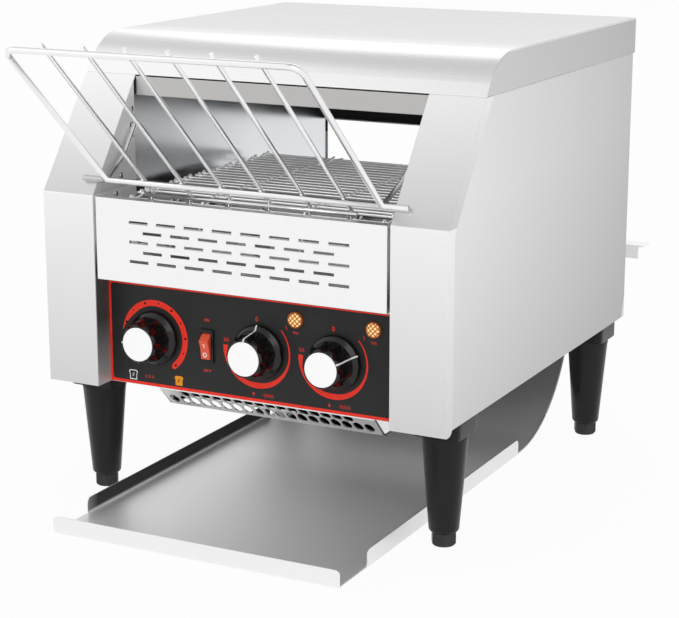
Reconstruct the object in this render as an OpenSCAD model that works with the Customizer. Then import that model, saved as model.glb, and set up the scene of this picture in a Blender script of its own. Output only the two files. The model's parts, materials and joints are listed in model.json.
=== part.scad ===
// Countertop conveyor toaster: bread goes in over a sloping wire rack at the front, rides a wire
// ladder belt between two banks of heaters, drops at the rear and slides forward down a curved tray.
// X to the right, Y to the rear, Z up, millimetres. The table is at z = 0 and the origin lies under
// the middle of the overall box. Sheet pieces are folded from one gauge and lie a named play apart.

/* [Body] */
// Width of the casing
body_w = 365; // [350:1:400]
// Depth of the casing, front face to rear face
body_d = 417; // [410:1:450]
// Height of the lid top above the table
body_h = 388; // [380:1:420]
// Gauge of the casing sheet
sheet_t = 1.2; // [0.8:0.1:1.6]
// Height of the front columns' lower edge above the table
base_z = 104; // [98:1:110]
// Width of each front column
column_w = 48.5; // [44:0.5:52]
// Height of the fold between a column's upright face and its slope
knee_z = 264.5; // [262:0.5:272]
// Height of the lid's skirt
lid_skirt = 32; // [26:1:38]
// How far the lid's lower front edge stands back from the front face
lid_setback = 67.5; // [60:0.5:75]
// How far the columns' inner returns reach back beside the tunnel
cheek_d = 65; // [60:0.5:66]
// Radius of the lid's rolled front edge
nose_r = 54.8; // [45:0.1:58]
// Play between two casing sheets that lie side by side
sheet_gap = 0.2; // [0.1:0.05:0.3]

/* [Front] */
// Depth of the control recess behind the front face
recess_d = 20; // [16:0.5:24]
// Height of the vented panel
vent_h = 68.5; // [66:0.5:70]
// Gap between the vented panel and each column
vent_gap = 2.5; // [1.5:0.5:4]
// Length of one vent slot
slot_l = 17.8; // [14:0.2:20]
// Height of one vent slot
slot_h = 2.4; // [1.6:0.1:3.4]
// Pitch of the vent slots along a row
slot_pitch = 25.9; // [23:0.1:27]
// Pitch of the vent slot rows
row_pitch = 8.05; // [6:0.05:9]
// Height of the strip that closes the tunnel below the lid
header_h = 16; // [12:0.5:20]
// Height of the charcoal control face
face_h = 86; // [80:0.5:90]

/* [Controls] */
// Diameter of a knob's skirt
knob_d = 48.4; // [44:0.2:50]
// Diameter of a knob's bright cap
cap_d = 28.8; // [24:0.2:32]
// How far a knob's cap stands out from the control face
knob_h = 27; // [20:0.5:30]
// Height of the knob axes above the table
knob_z = 147; // [144:0.5:150]
// Place of the belt speed knob across the face
speed_x = -89.5; // [-94:0.5:-85]
// Place of the upper heat knob across the face
upper_x = 9.5; // [6:0.5:14]
// Place of the lower heat knob across the face
lower_x = 78.5; // [74:0.5:84]
// Diameter of the control shafts
shaft_d = 6; // [5:0.5:7]
// Place of the rocker switch across the face
switch_x = -39.5; // [-42:0.5:-36]
// Diameter of an indicator light
lamp_d = 13.8; // [11:0.2:15]
// Height of the indicator lights above the table
lamp_z = 177; // [176:0.5:179]

/* [Belt] */
// Distance from one belt wire to the next
belt_pitch = 11.5; // [11:0.1:12]
// Thickness of the belt wire
wire_d = 2.2; // [1.8:0.1:2.6]
// Number of whole pitches between the two belt shafts
belt_run = 19; // [18:1:20]
// Room between a column and the ends of the belt's wires
belt_side_gap = 16; // [12:1:22]
// Height of the belt shafts above the table
belt_z = 240; // [238:0.5:242]
// Diameter of the belt shafts
axle_d = 10; // [8:0.5:12]
// Radial play of a shaft in its bush
axle_play = 0.05; // [0.03:0.01:0.09]
// Pitch of the drive chain
chain_pitch = 8; // [7.6:0.1:8.4]
// Number of whole pitches between the drive sprockets
chain_run = 12; // [12:1:12]

/* [Heaters] */
// Diameter of a heating rod
heater_d = 8; // [6:0.5:9]
// Distance between neighbouring heating rods
heater_pitch = 56; // [50:1:60]

/* [Rack] */
// Width of the feed rack over its wires
rack_w = 253; // [240:1:256]
// Length of the feed rack along its slope, over its top and low bars
rack_l = 197; // [185:1:205]
// Thickness of the rack's frame wire
frame_d = 5; // [4:0.5:6]
// Thickness of the rack's inner wires
rung_d = 3.5; // [3:0.25:4]
// Pitch of the rack's inner wires
rung_pitch = 36.14; // [34:0.02:37]
// Slope of the rack above level
rack_tilt = 42.4; // [38:0.2:48]

/* [Trays] */
// Width of the output tray
tray_w = 260; // [240:1:268]
// How far the output tray's lip stands out in front of the casing
tray_reach = 75.5; // [60:0.5:90]
// Height of the output tray's lip
lip_h = 14; // [10:0.5:20]
// Gauge of the tray sheet
tray_t = 1; // [0.8:0.1:1.2]
// Height of the crumb tray's walls
crumb_h = 10; // [6:0.5:12]

/* [Stand] */
// Distance from the casing's side to the leg axes
leg_side_in = 22; // [21:0.5:26]
// Distance from the front face to the front leg axes
leg_front_in = 47.5; // [44:0.5:58]
// Distance from the rear face to the rear leg axes
leg_rear_in = 41.5; // [30:0.5:48]
// Diameter of a leg at its top
leg_top_d = 38; // [32:0.5:40]
// Diameter of a leg at its lower end
leg_low_d = 24.4; // [22:0.2:28]
// Height of an adjusting foot
foot_h = 11; // [9:0.5:13]
// How far the rear spacer holds the casing off a wall
spacer_reach = 76; // [60:1:90]

/* [Hidden] */
$fn = 48;
cut = 1;      // overshoot of a cutting tool past the face it cuts
loose = 0.3;  // clearance between a part that moves and what it rests on
push_fit = 0.02;

// Casing
half_w = body_w / 2;
front_y = -body_d / 2;
rear_y = body_d / 2;
lid_z = body_h - lid_skirt;
column_x = half_w - column_w;
panel_x = half_w - sheet_t - sheet_gap;
lining_x = column_x + sheet_t + sheet_gap;
lining_out = lining_x + sheet_t;
slope_tilt = atan2(lid_setback, lid_z - knee_z);
return_d = recess_d + 2.5;
cheek_y = front_y + cheek_d;
flange_d = 11;
side_low = base_z + 3;
behind_front = sheet_t + 0.8;
rear_in = rear_y - sheet_t - sheet_gap - sheet_t;
side_top = lid_z + 10;

// Control recess
plate_y = front_y + recess_d;
face_t = 0.6;
face_y = plate_y - face_t;
plate_back = plate_y + sheet_t;
plate_x = column_x - sheet_gap;
vent_low = knee_z - vent_h;
plate_top = vent_low - sheet_gap;
face_low = base_z + 0.6;
vent_x = column_x - vent_gap;

// Inside
deck_z = vent_low;
deck_top = deck_z + sheet_t;
floor_top = side_low + sheet_t;
inner_x = lining_x - sheet_gap;
belt_half = column_x - belt_side_gap;
teeth = 12;
belt_r = belt_pitch / (2 * sin(180 / teeth));
front_axle_y = front_y + 42.5;
rear_axle_y = front_axle_y + belt_run * belt_pitch;
belt_top = belt_z + belt_r + wire_d / 2;
belt_rear = rear_axle_y + belt_r + wire_d / 2;
axle_r = axle_d / 2;
bush_r = axle_r + 2.5;
bush_flange_r = bush_r + 3.5;
deck_rear = belt_rear + 13;
tunnel_top = lid_z - 4;
header_low = lid_z - 1 - header_h;
header_back = lid_setback + front_y + 22;
upper_heater_z = header_low + heater_d / 2 - 0.5;
lower_heater_z = belt_z + 6;
heater_mid_upper = (header_back + deck_rear) / 2;
heater_mid_lower = (front_axle_y + rear_axle_y) / 2;
insulator_r = heater_d / 2 + 2;
pan_low = belt_z - 9;
pan_front = front_axle_y + belt_r + 5;
pan_rear = rear_axle_y - belt_r - 5;
pan_lip = lower_heater_z + heater_d / 2 + 0.3;

// Drive
chain_r = chain_pitch / (2 * sin(180 / teeth));
drive_y = rear_axle_y;
drive_z = belt_z - chain_run * chain_pitch;
drive_x = lining_out + 11;
sprocket_t = 2.6;
roller_r = 2.4;
motor_shaft_r = 4;
motor_face_x = lining_x - 6;

// Output tray
tray_low = 1;
lip_y = front_y - tray_reach;
chute_turn_y = rear_in - 0.6 - 126.3;
chute_r = rear_in - 0.6 - chute_turn_y;
chute_z = tray_low + chute_r;
chute_top = chute_z + 22;

// Feed rack: the rod lies on the column slopes, the hooks hang in the linings
frame_r = frame_d / 2;
rung_r = rung_d / 2;
rod_out = frame_r + loose;
rod_slope_z = knee_z + 11.7;
rod_y = slope_y(rod_slope_z) - rod_out * cos(slope_tilt);
rod_z = rod_slope_z + rod_out * sin(slope_tilt);
rod_half = column_x + 12;
rack_half = rack_w / 2 - frame_r;
low_bar_s = -18;
top_bar_s = rack_l + low_bar_s - frame_r - rung_r;
rung_lift = frame_r + rung_r - 0.1;
corner_r = 10;
rung_tip = 6;
hook_y = front_y + 60;
hook_z = knee_z + 50.5;
hook_r = 2;

// Stand
leg_x = half_w - leg_side_in;
leg_front = -front_y - leg_front_in;
leg_rear = rear_y - leg_rear_in;
collar_h = 14;
collar_w = 40;
leg_low = foot_h + loose;
stud_r = 4;
spacer_y = rear_y + spacer_reach;
spacer_z = base_z + 53;
// The overall box runs from the rack's top bar to the rear spacer, and its middle is the origin
rack_front = rod_y - top_bar_s * cos(rack_tilt) - max(frame_r,
  rung_tip * cos(rack_tilt) - (rung_lift - rung_r) * sin(rack_tilt));
stance_y = -(rack_front + spacer_y) / 2;

STEEL = [0.82, 0.83, 0.84];
BRIGHT = [0.9, 0.91, 0.92];
DARK = [0.25, 0.25, 0.26];
BLACK = [0.1, 0.1, 0.1];
CHARCOAL = [0.2, 0.2, 0.21];
RED = [0.86, 0.2, 0.14];
AMBER = [0.95, 0.62, 0.2];
CERAMIC = [0.93, 0.92, 0.88];
BRASS = [0.78, 0.62, 0.32];

// ---------------------------------------------------------------- shared shapes

function slope_y(z) = front_y + (z - knee_z) * tan(slope_tilt);

function slope_z(y) = knee_z + (y - front_y) / tan(slope_tilt);

// The casing's front outline, moved inward by d, from height low up to height high
function front_line(d, low, high) = [
  [front_y + d, low],
  [front_y + d, knee_z - d * tan(slope_tilt / 2)],
  [slope_y(high) + d / cos(slope_tilt), high]
];

function reversed(list) = [for (i = [len(list) - 1 : -1 : 0]) list[i]];

function arc(centre, r, from, to, steps) = [
  for (i = [0 : steps])
    let (a = from + (to - from) * i / steps)
    centre + r * [cos(a), sin(a)]
];

// The lid's outline, moved inward by d, open below at height low
function lid_outline(d, low) =
  let (nose_z = body_h - nose_r)
  let (nose_y = slope_y(nose_z) + nose_r / cos(slope_tilt))
  concat(
    [[rear_y - d, low], [rear_y - d, body_h - d]],
    arc([nose_y, nose_z], nose_r - d, 90, 180 - slope_tilt, 10),
    [[slope_y(low) + d / cos(slope_tilt), low]]
  );

// A box between two opposite corners
module block(low, high) {
  translate(low) cube(high - low);
}

// A flat shape given as (y, z) points, standing from x0 to x1
module across(x0, x1) {
  translate([x0, 0, 0]) rotate([90, 0, 90]) linear_extrude(x1 - x0) children();
}

// A flat shape given as (x, z) points, standing from y0 back to y1
module along(y0, y1) {
  translate([0, y1, 0]) rotate([90, 0, 0]) linear_extrude(y1 - y0) children();
}

module rod_x(x0, x1, y, z, r) {
  translate([x0, y, z]) rotate([0, 90, 0]) cylinder(r = r, h = x1 - x0);
}

module rod_y(x, y0, y1, z, r) {
  translate([x, y0, z]) rotate([-90, 0, 0]) cylinder(r = r, h = y1 - y0);
}

// A round wire between any two points
module wire(from, to, r) {
  v = to - from;
  turn = atan2(v[1], v[0]);
  lean = acos(v[2] / norm(v));
  translate(from) rotate([0, lean, turn]) cylinder(r = r, h = norm(v), $fn = 24);
}

module both_sides() {
  children();
  mirror([1, 0, 0]) children();
}

// A rectangle with round corners, centred
module rounded(w, h, r) {
  union() {
    square([w - 2 * r, h], center = true);
    square([w, h - 2 * r], center = true);
    for (x = [-1, 1], z = [-1, 1])
      translate([x * (w / 2 - r), z * (h / 2 - r)]) circle(r = r, $fn = 24);
  }
}

// Hole for the rack's hook and the two spare slots beside it, through a sheet that starts at x
module hook_holes(x) {
  rod_x(x - cut, x + sheet_t + cut, hook_y, hook_z, hook_r + 0.35);
  for (z = [hook_z - 8, hook_z + 13])
    block([x - cut, hook_y + 1, z - 2.4], [x + sheet_t + cut, hook_y + 3.4, z + 2.4]);
}

// ---------------------------------------------------------------- casing

module top_cover() {
  color(STEEL) difference() {
    across(-half_w, half_w) polygon(lid_outline(0, lid_z));
    across(-half_w + sheet_t, half_w - sheet_t) polygon(lid_outline(sheet_t, lid_z - cut));
  }
}

module side_panel() {
  color(STEEL) across(panel_x - sheet_t, panel_x) polygon(concat(
    front_line(behind_front, side_low, side_top),
    [[rear_y - sheet_t - sheet_gap, side_top], [rear_y - sheet_t - sheet_gap, side_low]]
  ));
}

module column_band(depth, low) {
  polygon(concat(front_line(0, low, lid_z), reversed(front_line(depth, low, lid_z))));
}

// Upright face and slope, an inner return beside the tunnel and an outer flange over the side panel
module front_column() {
  corner = 7;
  color(STEEL) union() {
    across(column_x, half_w) column_band(sheet_t, base_z);
    difference() {
      across(column_x, column_x + sheet_t) polygon([
        [front_y, base_z], [front_y, knee_z], [cheek_y, slope_z(cheek_y)],
        [cheek_y, deck_z], [front_y + return_d, deck_z], [front_y + return_d, base_z]
      ]);
      hook_holes(column_x);
      rod_x(column_x - cut, column_x + sheet_t + cut, front_axle_y, belt_z, bush_r + push_fit);
    }
    across(half_w - sheet_t, half_w) difference() {
      column_band(flange_d, base_z);
      translate([front_y + flange_d, base_z]) difference() {
        translate([-corner, -cut]) square(corner + cut);
        translate([-corner, corner]) circle(r = corner);
      }
    }
  }
}

// The rows of slots, every other row set off by half a pitch
module vent_slots() {
  for (row = [0 : 4]) {
    count = row % 2 == 0 ? 8 : 7;
    for (i = [0 : count - 1])
      translate([(i - (count - 1) / 2) * slot_pitch, vent_low + 17.9 + row * row_pitch])
        square([slot_l, slot_h], center = true);
  }
}

module vent_panel() {
  color(BRIGHT) union() {
    along(front_y, front_y + sheet_t) difference() {
      translate([-vent_x, vent_low]) square([2 * vent_x, vent_h]);
      vent_slots();
    }
    block([-vent_x, front_y, knee_z - sheet_t], [vent_x, front_y + 10, knee_z]);
    block([-vent_x, front_y, vent_low], [vent_x, plate_back, vent_low + sheet_t]);
    both_sides()
      block([vent_x - sheet_t, front_y, vent_low], [vent_x, front_y + 8, knee_z]);
  }
}

// Cut-outs for the controls' necks, the lights and the switch, through the plate and its face
module control_holes() {
  for (x = [speed_x, upper_x, lower_x])
    rod_y(x, plate_y - 4, plate_y + 4, knob_z, neck_r + push_fit);
  for (i = [0, 1])
    rod_y(lamp_x(i), plate_y - 4, plate_y + 4, lamp_z, lamp_d / 2 - 1.4 + push_fit);
  block([switch_x - switch_hole_w / 2 - push_fit, plate_y - 4, switch_z - switch_hole_h / 2 - push_fit],
    [switch_x + switch_hole_w / 2 + push_fit, plate_y + 4, switch_z + switch_hole_h / 2 + push_fit]);
}

// Each indicator light stands a fixed way to the right of the heat knob it belongs to
function lamp_x(i) = (i == 0 ? upper_x : lower_x) + 33;

module control_plate() {
  color(STEEL) difference() {
    union() {
      block([-plate_x, plate_y, base_z], [plate_x, plate_back, plate_top]);
      block([-plate_x, plate_y, base_z], [plate_x, plate_y + 13, base_z + sheet_t]);
    }
    control_holes();
  }
}

module control_face() {
  color(CHARCOAL) difference() {
    block([-plate_x, face_y, face_low], [plate_x, plate_y, face_low + face_h]);
    control_holes();
  }
}

// Folded strip under the lid's front edge
module header_strip() {
  y = front_y + lid_setback;
  color(BRIGHT) union() {
    block([-plate_x, y, header_low], [plate_x, y + sheet_t, lid_z - 1]);
    block([-plate_x, y, header_low], [plate_x, header_back, header_low + sheet_t]);
    block([-plate_x, y, lid_z - 1 - sheet_t], [plate_x, y + 12, lid_z - 1]);
  }
}

window_low = base_z + 61;
window_high = window_low + 110;
window_lip = 5;
gland_in = 19.4; // from the lining's outer face to the gland's axis
gland_x = -lining_out - gland_in;
gland_z = base_z + 31;
gland_r = 8;

module rear_panel() {
  w = panel_x - sheet_t - sheet_gap;
  color(STEEL) difference() {
    union() {
      block([-w, rear_in, side_low], [w, rear_in + sheet_t, side_top]);
      block([-column_x, rear_in - window_lip, window_high], [column_x, rear_in, window_high + sheet_t]);
    }
    block([-column_x, rear_in - cut, window_low], [column_x, rear_y, window_high]);
    rod_y(gland_x, rear_in - cut, rear_y, gland_z, gland_r + push_fit);
    for (i = [0 : 5])
      block([lining_out + 9, rear_in - cut, window_low + 8 + 12 * i],
        [panel_x - 9, rear_y, window_low + 12 + 12 * i]);
  }
}

// ---------------------------------------------------------------- inside the casing

// Side wall of the tunnel and, behind the belt, of the toast drop
module inner_wall() {
  color(BRIGHT) difference() {
    union() {
      across(lining_x, lining_out) polygon(concat(
        front_line(behind_front, deck_z, tunnel_top),
        [[rear_in - loose, tunnel_top], [rear_in - loose, floor_top],
          [deck_rear, floor_top], [deck_rear, deck_z]]
      ));
      block([lining_x, header_back, tunnel_top - sheet_t], [lining_x + 14, rear_in - loose, tunnel_top]);
    }
    for (y = [front_axle_y, rear_axle_y])
      rod_x(lining_x - cut, lining_out + cut, y, belt_z, bush_r + push_fit);
    heater_places() rod_x(lining_x - cut, lining_out + cut, 0, 0, insulator_r + push_fit);
    hook_holes(lining_x);
  }
}

// Puts a child at the axis of each heating rod, three above the tunnel and three inside the belt
module heater_places() {
  upper_heater_places() children();
  lower_heater_places() children();
}

module upper_heater_places() {
  for (i = [-1 : 1])
    translate([0, heater_mid_upper + i * heater_pitch, upper_heater_z]) children();
}

module lower_heater_places() {
  for (i = [-1 : 1])
    translate([0, heater_mid_lower + i * heater_pitch, lower_heater_z]) children();
}

// Floor of the belt space, narrower between the columns' returns and folded down behind the belt as
// the front wall of the toast drop
module deck_plate() {
  color(STEEL) union() {
    block([-plate_x, plate_back + sheet_gap, deck_z], [plate_x, deck_rear, deck_top]);
    block([-inner_x, cheek_y + sheet_gap, deck_z], [inner_x, deck_rear, deck_top]);
    block([-inner_x, deck_rear - sheet_t, floor_top], [inner_x, deck_rear, deck_top]);
  }
}

fan_x = 11;
fan_y = -66;
fan_w = 80;
fan_d = 25;
fan_bore_r = 38;

module base_plate() {
  w = panel_x - sheet_t - sheet_gap;
  front = front_y + return_d + 0.4;
  color(STEEL) difference() {
    union() {
      block([-w, front, side_low], [w, rear_in, floor_top]);
      both_sides() block([w - sheet_t, front, side_low], [w, rear_in, side_low + 14]);
    }
    block([-column_x, deck_rear, side_low - cut], [column_x, rear_y, floor_top + cut]);
    translate([fan_x, fan_y, side_low - cut]) cylinder(r = fan_bore_r - 2, h = 2 * cut + sheet_t);
    for (x = [-leg_x, leg_x], y = [-leg_front, leg_rear])
      translate([x, y, side_low - cut]) cylinder(r = 3.2, h = 2 * cut + sheet_t);
  }
}

intake_left = 45 - column_x;
intake_right = column_x - 23;
intake_drop = 19;
intake_rear = 70;
hole_r = 3.8;
hole_pitch = 10.1;

// Air scoop under the front edge: a shallow pan whose slanted front is drilled in two rows, as many
// holes as its width takes, and the upper row a pitch and a half shorter at each end
module air_intake() {
  t = sheet_t;
  top = plate_y + 1.6;
  low = base_z - intake_drop;
  first_x = intake_left + 8.2;
  last_x = intake_right - 9;
  slant = [[top, base_z], [top + intake_drop, low]];
  color(STEEL) difference() {
    across(intake_left, intake_right) polygon([
      slant[0], slant[1], [intake_rear, low], [intake_rear, side_low], [top + 12.5, side_low],
      [top + 12.5, base_z]
    ]);
    across(intake_left + t, intake_right - t) polygon([
      slant[0] + [t * 1.42, 0], slant[1] + [t * 0.42, t], [intake_rear - t, low + t],
      [intake_rear - t, side_low + cut], [top + 11.3, side_low + cut], [top + 11.3, base_z - t],
      [top + t * 2.42, base_z - t]
    ]);
    for (row = [0, 1]) {
      inset = 1.5 * row * hole_pitch;
      for (x = [first_x + inset : hole_pitch : last_x - inset])
        translate([x, top + 14.2 - row * 8.4, base_z - 14.2 + row * 8.4])
          rotate([-45, 0, 0]) translate([0, 0, -3]) cylinder(r = hole_r, h = 6);
    }
  }
}

// Folded pan with its open side towards the belt
module reflector(front, rear, low, high, ceiling) {
  floor_z = ceiling ? high - sheet_t : low;
  union() {
    block([-inner_x, front, floor_z], [inner_x, rear, floor_z + sheet_t]);
    block([-inner_x, front, low], [inner_x, front + sheet_t, high]);
    block([-inner_x, rear - sheet_t, low], [inner_x, rear, high]);
  }
}

module upper_reflector() {
  color(BRIGHT)
    reflector(header_back, deck_rear, header_low + sheet_t + sheet_gap, tunnel_top - 2, true);
}

module lower_reflector() {
  color(BRIGHT) reflector(pan_front, pan_rear, pan_low, pan_lip, false);
}

module heater_rod() {
  reach = lining_out + 9;
  rod_x(-reach, reach, 0, 0, heater_d / 2);
  both_sides() rod_x(reach, reach + 6, 0, 0, 1.6);
}

module upper_heaters() {
  color(DARK) upper_heater_places() heater_rod();
}

module lower_heaters() {
  color(DARK) lower_heater_places() heater_rod();
}

// Flanged ceramic sleeves that carry the rods in the walls
module heater_insulators() {
  color(CERAMIC) both_sides() heater_places() difference() {
    union() {
      rod_x(lining_x - 1, lining_out + 5, 0, 0, insulator_r);
      rod_x(lining_out, lining_out + 2.5, 0, 0, insulator_r + 2);
    }
    rod_x(lining_x - 2, lining_out + 6, 0, 0, heater_d / 2 + push_fit);
  }
}

// Upright strips under the belt's upper run, lying on the lower reflector's front and rear walls
module belt_guides() {
  top = belt_top - wire_d - loose;
  for (x = [-66, 66])
    color(STEEL) block([x - 1, pan_front, pan_lip], [x + 1, pan_rear, top]);
}

// ---------------------------------------------------------------- belt and drive

// Place (y, z) of belt wire i on the loop, counted from the front end of the upper run
function belt_station(i) =
  i < belt_run ? [front_axle_y + i * belt_pitch, belt_z + belt_r] :
  i < belt_run + teeth / 2 ? belt_turn(rear_axle_y, 90 - (i - belt_run) * 360 / teeth) :
  i < 2 * belt_run + teeth / 2 ?
    [rear_axle_y - (i - belt_run - teeth / 2) * belt_pitch, belt_z - belt_r] :
  belt_turn(front_axle_y, 270 - (i - 2 * belt_run - teeth / 2) * 360 / teeth);

function belt_turn(y, a) = [y + belt_r * cos(a), belt_z + belt_r * sin(a)];

belt_links = 2 * belt_run + teeth;
hook_wire_r = wire_d / 2 - 0.15;
hook_bend_r = wire_d / 2 + hook_wire_r + 0.25;
crank_step = 2.6;
edge_crank_x = [-belt_half + 1.2, belt_half - 1.2 - crank_step];
inner_crank_x = [-48, 48 - crank_step];

// One strand: a cross wire with a hook at each end that curls round the next strand's wire, and
// two cranks between them that lie over it. Neighbouring strands have theirs a step apart, so that
// each hook stands beside the next crank
module belt_strand(reach, shift) {
  meet = 180 - acos(hook_bend_r / reach);
  rod_x(-belt_half, belt_half, 0, 0, wire_d / 2, $fn = 16);
  for (x = inner_crank_x)
    wire([x + shift, 0, 0], [x + shift, reach + 1, hook_bend_r], hook_wire_r);
  for (x = edge_crank_x) {
    wire([x + shift, 0, 0],
      [x + shift, reach + hook_bend_r * cos(meet), -hook_bend_r * sin(meet)], hook_wire_r);
    translate([x + shift, reach, 0]) rotate([90, 0, 90]) rotate([0, 0, -meet])
      rotate_extrude(angle = meet + 150, $fn = 24)
        translate([hook_bend_r, 0]) circle(r = hook_wire_r, $fn = 16);
  }
}

module wire_belt() {
  color(BRIGHT) for (i = [0 : belt_links - 1]) {
    here = belt_station(i);
    next = belt_station((i + 1) % belt_links);
    step = next - here;
    translate([0, here[0], here[1]]) rotate([atan2(step[1], step[0]), 0, 0])
      belt_strand(norm(step), i % 2 * crank_step);
  }
}

module shaft_bushes() {
  color(BRASS) both_sides() for (y = [front_axle_y, rear_axle_y])
    difference() {
      union() {
        rod_x(lining_x - 2.5, lining_out + 2.4, y, belt_z, bush_r);
        rod_x(lining_out, lining_out + 2.4, y, belt_z, bush_flange_r);
      }
      rod_x(lining_x - 3.5, lining_out + 3.4, y, belt_z, axle_r + axle_play);
    }
}

// Toothed wheel about X. Its tips lie under the wires or rollers of a loop that runs at pitch_r, and
// end a clearance inside them, so that the wheel turns free of the loop
module sprocket(pitch_r, roller, bore_r, thick, hub_r, hub_l) {
  tip_r = pitch_r - roller - loose;
  gap_r = 0.75 * tip_r * sin(180 / teeth);
  difference() {
    union() {
      across(-thick / 2, thick / 2) difference() {
        circle(r = tip_r);
        for (i = [0 : teeth - 1])
          rotate((i + 0.5) * 360 / teeth) translate([tip_r, 0]) circle(r = gap_r, $fn = 24);
      }
      rod_x(-hub_l / 2, hub_l / 2, 0, 0, hub_r);
    }
    rod_x(-hub_l, hub_l, 0, 0, bore_r + push_fit);
  }
}

sprocket_x = [-84, 0, 84];

module belt_sprockets(y) {
  color(STEEL) for (x = sprocket_x)
    translate([x, y, belt_z]) sprocket(belt_r, wire_d / 2, axle_r, 2.5, axle_r + 4, 12);
}

module front_shaft() {
  color(STEEL) rod_x(-lining_out - 5, lining_out + 5, front_axle_y, belt_z, axle_r);
}

module rear_shaft() {
  color(STEEL) rod_x(-lining_out - 5, drive_x + 7, rear_axle_y, belt_z, axle_r);
}

module driven_sprocket() {
  color(DARK) translate([drive_x, drive_y, belt_z])
    sprocket(chain_r, roller_r, axle_r, sprocket_t, axle_r + 3.5, 9);
}

module motor_sprocket() {
  color(DARK) translate([drive_x, drive_y, drive_z])
    sprocket(chain_r, roller_r, motor_shaft_r, sprocket_t, motor_shaft_r + 4, 9);
}

function chain_station(i) =
  i < chain_run ? [drive_y - chain_r, drive_z + i * chain_pitch] :
  i < chain_run + teeth / 2 ? chain_turn(belt_z, 180 - (i - chain_run) * 360 / teeth) :
  i < 2 * chain_run + teeth / 2 ?
    [drive_y + chain_r, belt_z - (i - chain_run - teeth / 2) * chain_pitch] :
  chain_turn(drive_z, -(i - 2 * chain_run - teeth / 2) * 360 / teeth);

function chain_turn(z, a) = [drive_y + chain_r * cos(a), z + chain_r * sin(a)];

chain_plate_t = 0.7;
chain_pin_r = 1;
inner_plate_x = sprocket_t / 2 + 0.5;
outer_plate_x = inner_plate_x + chain_plate_t + 0.1;

module chain_plates(x, reach) {
  both_sides() across(x, x + chain_plate_t) union() {
    circle(r = 3, $fn = 24);
    translate([reach, 0]) circle(r = 3, $fn = 24);
    translate([0, -2]) square([reach, 4]);
  }
}

// Two plates joined by two rollers that are bored for the pins
module inner_link(reach) {
  difference() {
    union() {
      chain_plates(inner_plate_x, reach);
      for (y = [0, reach]) rod_x(-inner_plate_x, inner_plate_x, y, 0, roller_r, $fn = 24);
    }
    for (y = [0, reach])
      rod_x(-outer_plate_x, outer_plate_x, y, 0, chain_pin_r + axle_play, $fn = 24);
  }
}

// Two plates outside the next inner links, joined by two pins
module outer_link(reach) {
  union() {
    chain_plates(outer_plate_x, reach);
    for (y = [0, reach]) rod_x(-outer_plate_x, outer_plate_x, y, 0, chain_pin_r, $fn = 24);
  }
}

module drive_chain() {
  links = 2 * chain_run + teeth;
  color(DARK) for (i = [0 : links - 1]) {
    here = chain_station(i);
    step = chain_station((i + 1) % links) - here;
    translate([drive_x, here[0], here[1]]) rotate([atan2(step[1], step[0]), 0, 0]) {
      if (i % 2 == 0) inner_link(norm(step));
      else outer_link(norm(step));
    }
  }
}

motor_l = 68;
motor_r = 28;
gearbox_r = 30;
nose_plug_r = 9;

// Geared motor lying across the casing, with its nose in the bracket
module gear_motor() {
  back = motor_face_x - motor_l;
  color(DARK) difference() {
    union() {
      rod_x(back, motor_face_x - 22, drive_y, drive_z, motor_r);
      rod_x(motor_face_x - 22, motor_face_x, drive_y, drive_z, gearbox_r);
      rod_x(motor_face_x, motor_face_x + 4, drive_y, drive_z, nose_plug_r);
      for (a = [45 : 90 : 315])
        translate([0, drive_y, drive_z]) rotate([a, 0, 0])
          rod_x(motor_face_x - 5, motor_face_x, 31, 0, 5);
    }
    rod_x(motor_face_x - 20, motor_face_x + 5, drive_y, drive_z, motor_shaft_r + axle_play);
  }
}

module motor_shaft() {
  color(STEEL) rod_x(motor_face_x - 19.5, drive_x + 7, drive_y, drive_z, motor_shaft_r);
}

module motor_bracket() {
  half = gearbox_r + 5;
  color(STEEL) difference() {
    union() {
      block([motor_face_x, drive_y - half, floor_top],
        [motor_face_x + 2, drive_y + half, drive_z + half]);
      block([motor_face_x - 18, drive_y - half, floor_top],
        [motor_face_x, drive_y + half, floor_top + 2]);
    }
    rod_x(motor_face_x - cut, motor_face_x + 3, drive_y, drive_z, nose_plug_r + push_fit);
  }
}

module fan_frame() {
  bottom = floor_top;
  color(BLACK) translate([fan_x, fan_y, bottom]) {
    difference() {
      translate([-fan_w / 2, -fan_w / 2, 0]) cube([fan_w, fan_w, fan_d]);
      translate([0, 0, -cut]) cylinder(r = fan_bore_r, h = fan_d + 2 * cut);
      for (x = [-1, 1], y = [-1, 1])
        translate([x * 35.7, y * 35.7, -cut]) cylinder(r = 2.2, h = fan_d + 2 * cut);
    }
    cylinder(r = 17, h = 4);
    for (a = [45 : 90 : 315])
      rotate(a) translate([14, -2, 0]) cube([fan_bore_r - 13.5, 4, 3]);
    cylinder(r = 2, h = fan_d - 8);
  }
}

module fan_rotor() {
  blades = 7;
  color(BLACK) translate([fan_x, fan_y, floor_top + 4.6]) difference() {
    union() {
      cylinder(r = 16, h = fan_d - 7);
      for (i = [0 : blades - 1])
        rotate(i * 360 / blades) translate([15, 0, (fan_d - 7) / 2])
          rotate([38, 0, 0]) translate([0, -9, -0.7]) cube([fan_bore_r - 17, 18, 1.4]);
    }
    translate([0, 0, -cut]) cylinder(r = 2 + axle_play, h = fan_d - 10.6);
  }
}

// ---------------------------------------------------------------- controls

control_depth = 24;
skirt_gap = 1.2;
neck_r = shaft_d / 2 + 2;
cap_t = 0.6;

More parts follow.
